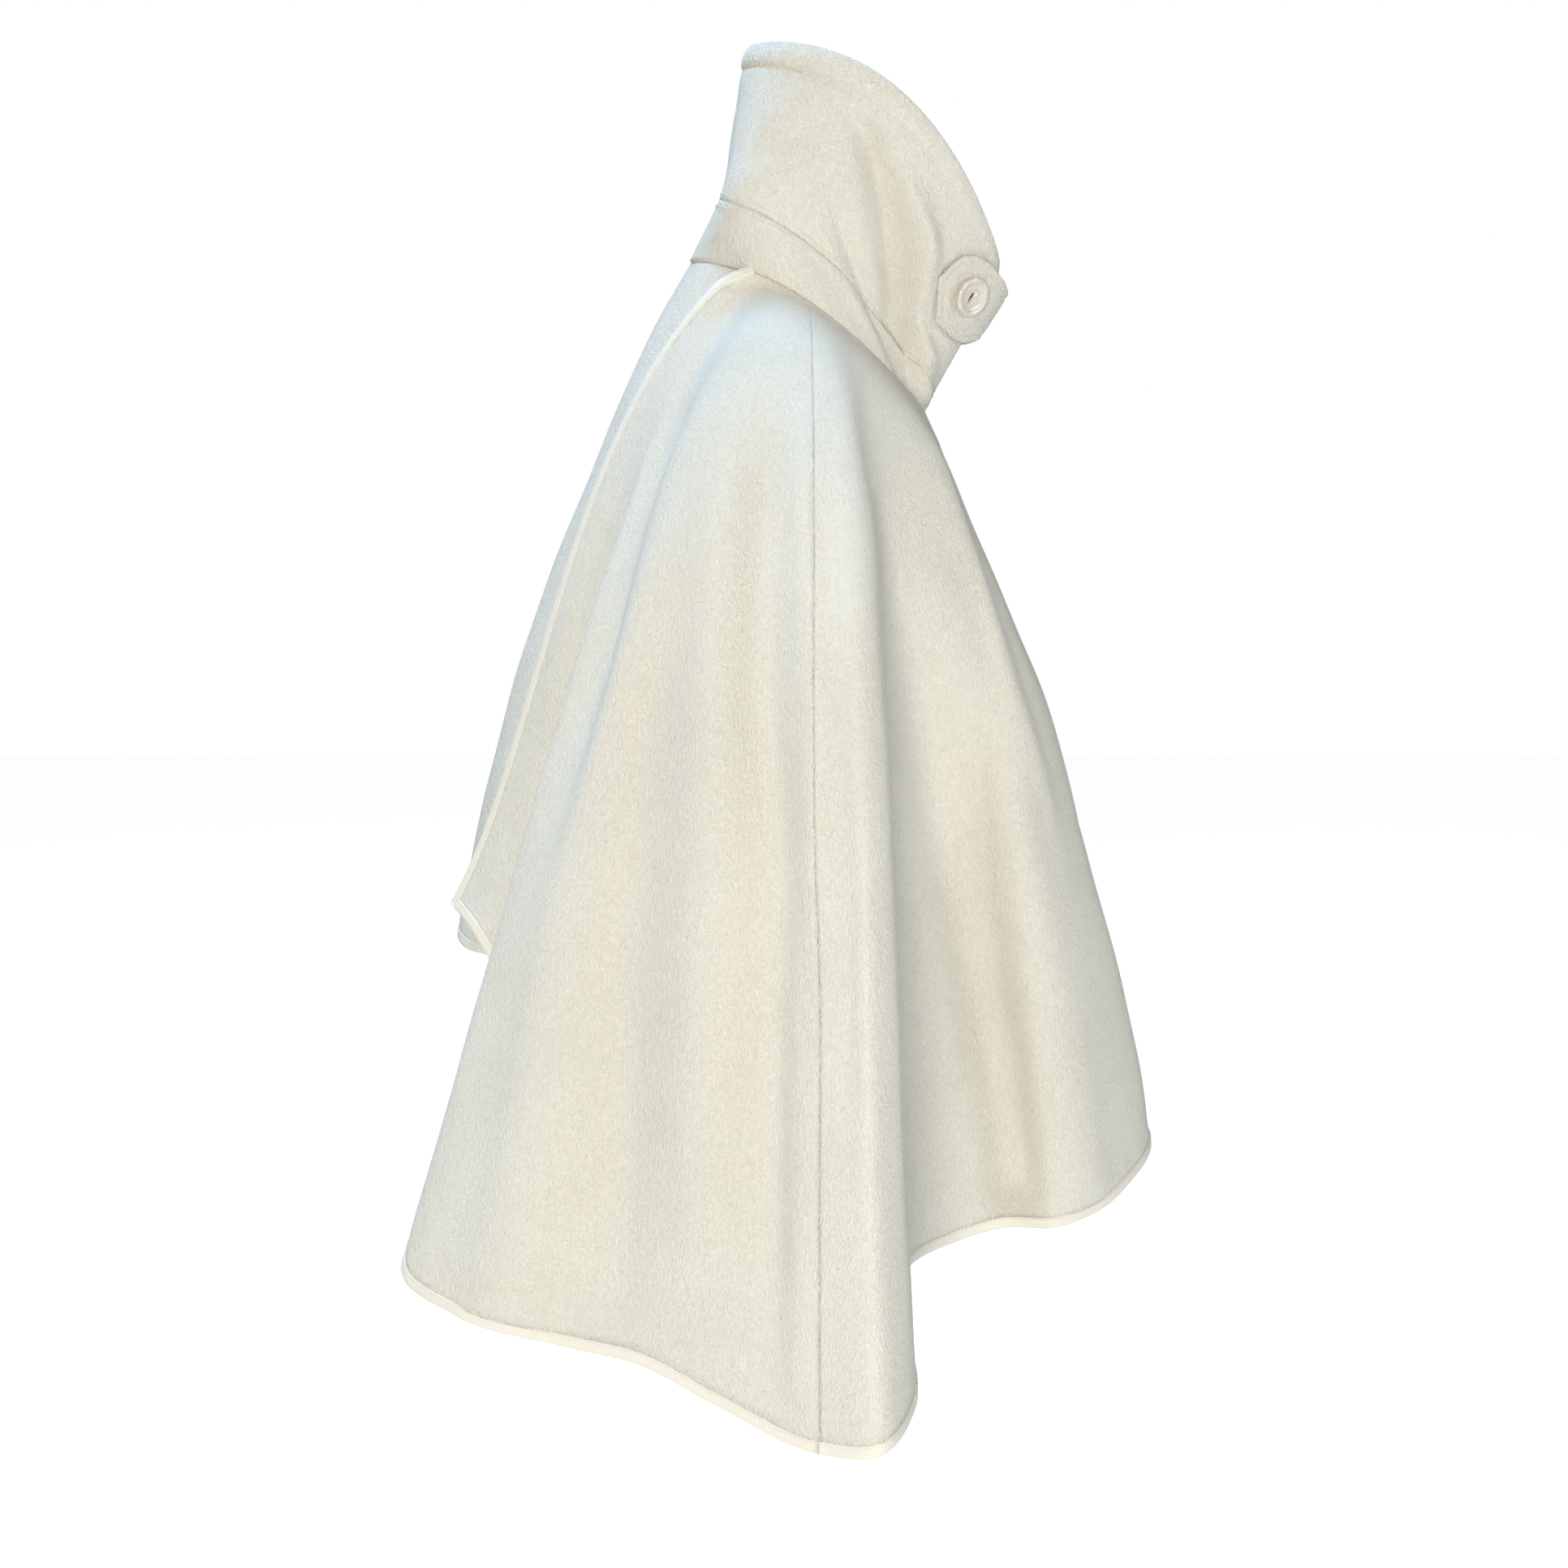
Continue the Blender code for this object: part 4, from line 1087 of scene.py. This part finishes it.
def makeTab(name, material):
    along = np.repeat(np.linspace(0, 1, tab["along"])[:, None], tab["across"], axis=1)
    across = np.repeat(np.linspace(0, 1, tab["across"])[None, :], tab["along"], axis=0)
    along = along + tab["gather"][0] * (smoothStep(0, 1, along) - along)
    across = across + tab["gather"][1] * (smoothStep(0, 1, across) - across)
    under, out = tabFace(along, across)
    rim, _ = tabRim()
    flat = under.reshape(-1, 3)
    away = np.full(len(flat), 1.0)
    for point in rim:
        away = np.minimum(away, np.linalg.norm(flat - point, axis=1))
    away = away.reshape(under.shape[:2])
    part = np.clip(away / tab["edgeRound"], 0, 1)
    half = tab["edgeThick"] + (1 - tab["edgeThick"]) * np.sqrt(1 - (1 - part) ** 2)
    half = tab["cloth"] / 2 * half
    dip = tab["stitchDip"] * bell(away - tab["stitchIn"], tab["stitchSpread"])
    middle = under + (tab["cloth"] / 2) * out
    outer = middle + (half - dip)[..., None] * out
    inner = middle - half[..., None] * out
    return shell(name, outer, inner, material, True), outer, out, away


# Painted shade: the tab's wool is a darker copy of the body's, with more shade painted into its nap, for the
# tab's face turned from the light
tabShadedWool = woolMaterial("ivoryNapTabShaded", 560.0, 1400.0, 0.85)
throatTab, tabOuter, tabOut, tabAway = makeTab("throatTab", tabShadedWool)
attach(throatTab, "root")
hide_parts("collar_tab")

# Button: a dished disc with a raised rim and a fish-eye slot with two holes
button = {
    "place": (23.8, 0.635),
    "rest": 0.0016,
    "radius": 0.0142,
    "thickness": 0.0042,
    "rings": 64,
    "sides": 128,
    "slotHalf": 0.0066,
    "slotWidth": 0.0027,
    "slotDepth": 0.0021,
    "holeOff": 0.0024,
    "holeRadius": 0.0009,
    "holeDepth": 0.0012,
    "darkFrom": 0.82,  # part of the slot's depth below which its floor takes the dark material, as painted shade
    "faceEnd": 7,  # the profile's point where the face ends and the side starts
    "lean": -8.0,
}
# part of the radius and part of the thickness, from the middle of the face over the rim to the back
buttonProfile = ((0, 0.60), (0.30, 0.61), (0.56, 0.66), (0.66, 0.74), (0.74, 0.90), (0.82, 0.99), (0.90, 1.0),
                 (0.96, 0.90), (1.0, 0.66), (0.985, 0.44), (0.93, 0.26), (0.82, 0.10), (0.72, 0.0), (0, 0))


def buttonAxes():
    _, upWay, out = collarAxes(*button["place"])
    base = collarPoint(*button["place"]) + out * (button["rest"] + tab["cloth"])
    side = unit(np.cross(upWay, out))
    return base, side, np.cross(out, side), out


def makeButton(name, material, shade):
    table = np.array(buttonProfile, float)
    length = lengthAlong(table)
    at = np.linspace(0, length[-1], button["rings"] + 1)
    rates = tableSlopes(length, table)
    profile = alongTable(length, table, rates, at)
    reach = np.clip(profile[:, 0], 0, 1) * button["radius"]
    rise = np.clip(profile[:, 1], 0, 1.02) * button["thickness"]
    angle = 2 * np.pi * np.arange(button["sides"]) / button["sides"]
    x = reach[1:-1, None] * np.cos(angle)[None, :]
    y = reach[1:-1, None] * np.sin(angle)[None, :]
    z = np.repeat(rise[1:-1, None], button["sides"], axis=1)
    lean = math.radians(button["lean"])
    slotX = x * math.cos(lean) + y * math.sin(lean)
    slotY = -x * math.sin(lean) + y * math.cos(lean)
    width = button["slotWidth"] * np.clip(1 - (slotY / button["slotHalf"]) ** 2, 0, 1)
    inSlot = smoothStep(1.0, 0.35, np.abs(slotX) / np.maximum(width, 1e-5)) * (width > 0)
    upper = at[1:-1] < length[button["faceEnd"]]
    cut = button["slotDepth"] * inSlot
    for sign in (-1, 1):
        gap = np.hypot(slotX, slotY - sign * button["holeOff"])
        cut = cut + button["holeDepth"] * smoothStep(1.5, 0.8, gap / button["holeRadius"])
    z = z - cut * upper[:, None]
    z = np.maximum(z, 0.0002 * upper[:, None])
    base, side, up, out = buttonAxes()
    middle = base + out * (rise[0] - button["slotDepth"])
    body = base + x[..., None] * side + y[..., None] * up + z[..., None] * out
    points = np.concatenate([[middle], body.reshape(-1, 3), [base]])
    sides = button["sides"]
    count = body.shape[0]
    faces = []
    for k in range(sides):
        after = (k + 1) % sides
        faces.append((0, 1 + k, 1 + after))
        for ring in range(count - 1):
            a = 1 + ring * sides
            faces.append((a + k, a + sides + k, a + sides + after, a + after))
        last = 1 + (count - 1) * sides
        faces.append((last + after, last + k, len(points) - 1))
    item = newObject(name, points, faces, material)
    item.data.materials.append(shade)
    # Painted shade: the faces deep in the slot and in its holes take the dark material
    shadedFloor = cut > button["darkFrom"] * button["slotDepth"]
    shadedFloor = shadedFloor & upper[:, None] & (slotY < button["holeOff"] * 1.4)
    for face in item.data.polygons:
        places = [v - 1 for v in face.vertices if 0 < v < len(points) - 1]
        if places and all(shadedFloor.ravel()[v] for v in places):
            face.material_index = 1
    return item


def resinMaterial():
    # Pearly resin, cream with a faint pink cloud
    material, tree, shader = newMaterial("pearlyResin")
    place = tree.nodes.new("ShaderNodeTexCoord").outputs["Object"]
    cloud = noiseNode(tree, stretched(tree, place, (1, 1, 0.35), (0.4, 0.2, 0.0)), 150.0, 3.0, 0.5, 1.4)
    cloudMask = rangeNode(tree, cloud, 0.36, 0.66)
    colour = mixColour(tree, cloudMask, (0.64, 0.575, 0.50, 1), (0.79, 0.74, 0.66, 1))
    tree.links.new(colour, shader.inputs["Base Color"])
    tree.links.new(rangeNode(tree, cloud, 0.3, 0.7, 0.16, 0.26), shader.inputs["Roughness"])
    shader.inputs["Coat Weight"].default_value = 0.6
    shader.inputs["Coat Roughness"].default_value = 0.08
    return material


# Painted shade: a dark material for the deep floor of the slot and of its holes, standing for the shade
# inside them
slotShade = speckled("slotShade", 1800.0, 3.0, (0.035, 0.024, 0.015, 1), (0.10, 0.075, 0.05, 1), 0.6)
coatButton = makeButton("coatButton", resinMaterial(), slotShade)
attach(coatButton, "root")
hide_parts("button")
print("tab and button made")

# Sewing thread
stitch = {
    "length": 0.0030,
    "gap": 0.0009,
    "start": 0.12,  # part of a stitch's share of the line that comes before it
    "radius": 0.00032,
    "thinEnd": 0.55,
    "rise": 1.1,  # the arch's height and how deep its ends lie, in radii
    "sink": 0.6,
    "sides": 6,
    "stations": 6,
    "tapeInset": 0.0013,
    "tapeLift": 0.75,
    "fromSeam": 0.024,
}
thread = speckled("creamThread", 2600.0, 2.0, (0.66, 0.60, 0.49, 1), (0.82, 0.77, 0.67, 1), 0.7)


def stitchRun(name, line, out, lift=0.0001):
    # Small sewn dashes along a line that lies on cloth, each dipping into it at both ends
    line = np.asarray(line)
    length = lengthAlong(line)
    pitch = stitch["length"] + stitch["gap"]
    count = max(1, int(length[-1] / pitch))
    start = (np.arange(count) + stitch["start"]) * length[-1] / count
    part = np.linspace(0, 1, stitch["stations"])
    at = start[:, None] + part[None, :] * stitch["length"]
    centre = np.stack([np.interp(at, length, line[:, k]) for k in range(3)], -1)
    normal = unit(np.stack([np.interp(at, length, out[:, k]) for k in range(3)], -1))
    way = unit(np.gradient(centre, axis=1))
    side = unit(np.cross(normal, way))
    arch = np.sin(np.pi * part) ** 0.5
    radius = stitch["radius"] * (stitch["thinEnd"] + (1 - stitch["thinEnd"]) * arch)
    height = lift + stitch["radius"] * (stitch["rise"] * arch - stitch["sink"])
    centre = centre + height[None, :, None] * normal
    angle = 2 * np.pi * np.arange(stitch["sides"]) / stitch["sides"]
    wide = np.cos(angle)[None, None, :, None] * side[:, :, None, :]
    high = np.sin(angle)[None, None, :, None] * normal[:, :, None, :]
    points = centre[:, :, None, :] + radius[None, :, None, None] * (wide + high)
    faces = []
    size = stitch["stations"] * stitch["sides"]
    for k in range(count):
        faces += tubeFaces(stitch["stations"], stitch["sides"], start=k * size)
    item = newObject(name, points, faces, thread)
    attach(item, "root")
    return item


stitches = {}
for name, (edge, inward, out) in tapeLines.items():
    inset = tapeSection["width"] - stitch["tapeInset"]
    lift = tapeSection["proud"] * stitch["tapeLift"]
    face = edge + inward * inset + out * lift
    back = edge + inward * inset - out * (cape["cloth"] + lift)
    stitches[name] = [stitchRun(name + "Stitches", face, out), stitchRun(name + "BackStitches", back, -out)]


def collarLine(up, lift):
    turns = collarTurns()[2:-2]
    level = np.full_like(turns, up)
    _, _, out = collarAxes(turns, level)
    relief = collarRelief(turns, level) if up < 0.8 else np.zeros_like(turns)
    return collarPoint(turns, level) + (relief + lift)[:, None] * out, out


rimStitches = stitchRun("rimStitches", *collarLine(collar["rollStart"], -0.0008))
bandStitches = stitchRun("bandStitches", *collarLine(bandTop - stitch["fromSeam"], -0.0001))
collarStitches = stitchRun("collarStitches", *collarLine(bandTop + stitch["fromSeam"], -0.0001))


def tabStitchLine():
    # The stitched line inside the tab's edge, found on its face at an even distance in
    rows, columns = tabAway.shape
    middle = columns // 2
    target = tab["stitchIn"]
    lowSide = []
    highSide = []
    for row in range(rows):
        away = tabAway[row]
        if away.max() <= target:
            continue
        lowPart = away[:middle + 1]
        highPart = away[middle:]
        if lowPart.max() > target and highPart.max() > target:
            low = int(np.argmax(lowPart > target))
            high = middle + len(highPart) - 1 - int(np.argmax(highPart[::-1] > target))
            lowSide.append((row, low))
            highSide.append((row, high))
    first = [(lowSide[0][0], c) for c in range(highSide[0][1], lowSide[0][1], -1)]
    last = [(lowSide[-1][0], c) for c in range(lowSide[-1][1], highSide[-1][1])]
    loop = first + lowSide + last + highSide[::-1]
    rowsAt = np.array([a for a, b in loop])
    columnsAt = np.array([b for a, b in loop])
    line = tabOuter[rowsAt, columnsAt]
    out = tabOut[rowsAt, columnsAt]
    for _ in range(6):
        line = (np.roll(line, 1, axis=0) + 2 * line + np.roll(line, -1, axis=0)) / 4
    return np.concatenate([line, line[:1]]), np.concatenate([out, out[:1]])


tabStitches = stitchRun("tabStitches", *tabStitchLine())
print("stitching made")

panelTapes = {"frontPanel": ("frontHemTape",), "rightBack": ("rightHemTape", "rightEdgeTape"),
              "leftBack": ("leftHemTape", "leftEdgeTape")}
for name, panel in panels.items():
    going = []
    for tapeName in panelTapes[name]:
        going += [tapes[tapeName]] + stitches[tapeName]

# Camera, lights and floor
view = {"place": (-1.58279, 0.0175, -0.0615), "pitch": 9.7337, "lens": 48.447, "sensor": 36.0}
camera = bpy.data.cameras.new("photoCamera")
camera.lens = view["lens"]
camera.sensor_width = view["sensor"]
cameraItem = bpy.data.objects.new("photoCamera", camera)
cameraItem.location = view["place"]
cameraItem.rotation_euler = (math.radians(90 - view["pitch"]), 0, math.radians(-90))
bpy.context.scene.collection.objects.link(cameraItem)
bpy.context.scene.camera = cameraItem

studio = {
    "floorHeight": -1.42,
    "floorSize": 14.0,
    "floorColour": (0.86, 0.86, 0.86, 1),
    "floorGlow": 0.75,
    "world": (0.98, 0.985, 0.96, 1),
    "worldStrength": 0.25,
}
lamps = {
    # place, aim, size, power, colour
    "warmKey": ((-2.66, 0.35, 0.00), (0, 0, -0.25), 0.7, 47, (1.0, 0.955, 0.87)),
    "coolTop": ((0.45, 0.45, 2.20), (0, 0, -0.20), 0.9, 76, (0.42, 0.68, 1.0)),
    "softFill": ((-1.20, -2.30, -0.10), (0, 0, -0.25), 1.2, 18, (0.90, 0.95, 1.0)),
    "backFill": ((-1.75, 1.75, 0.45), (0, 0, -0.25), 1.2, 6, (1.0, 0.98, 0.94)),
}


def aimed(place, target):
    way = np.array(target, float) - np.array(place, float)
    flat = math.hypot(way[0], way[1])
    return (math.pi / 2 + math.atan2(way[2], flat), 0, math.atan2(way[1], way[0]) - math.pi / 2)


for name, (place, target, size, power, colour) in lamps.items():
    lamp = bpy.data.lights.new(name, "AREA")
    lamp.shape = "DISK"
    lamp.size = size
    lamp.energy = power
    lamp.color = colour
    lampItem = bpy.data.objects.new(name, lamp)
    lampItem.location = place
    lampItem.rotation_euler = aimed(place, target)
    bpy.context.scene.collection.objects.link(lampItem)

world = bpy.data.worlds.new("paleRoom")
world.use_nodes = True
room = world.node_tree
ambient = room.nodes["Background"]
ambient.inputs["Color"].default_value = studio["world"]
ambient.inputs["Strength"].default_value = studio["worldStrength"]
backdrop = room.nodes.new("ShaderNodeBackground")
backdrop.inputs["Color"].default_value = (1, 1, 1, 1)
seen = room.nodes.new("ShaderNodeLightPath")
mixed = room.nodes.new("ShaderNodeMixShader")
room.links.new(seen.outputs["Is Camera Ray"], mixed.inputs[0])
room.links.new(ambient.outputs[0], mixed.inputs[1])
room.links.new(backdrop.outputs[0], mixed.inputs[2])
room.links.new(mixed.outputs[0], room.nodes["World Output"].inputs["Surface"])
bpy.context.scene.world = world
bpy.context.scene.view_settings.view_transform = "Standard"

floorMaterial, floorTree, floorShader = newMaterial("paleFloor")
floorShader.inputs["Base Color"].default_value = studio["floorColour"]
floorShader.inputs["Roughness"].default_value = 0.9
floorShader.inputs["Emission Color"].default_value = (1, 1, 1, 1)
floorSeen = floorTree.nodes.new("ShaderNodeLightPath").outputs["Is Camera Ray"]
floorGlow = mathNode(floorTree, "MULTIPLY", floorSeen, studio["floorGlow"])
floorTree.links.new(floorGlow, floorShader.inputs["Emission Strength"])
half = studio["floorSize"] / 2
signs = ((-1, -1), (1, -1), (1, 1), (-1, 1))
corners = [(x * half, y * half, studio["floorHeight"]) for x, y in signs]
floor = newObject("floor", corners, [(0, 1, 2, 3)], floorMaterial)
print("camera, lights and floor set")
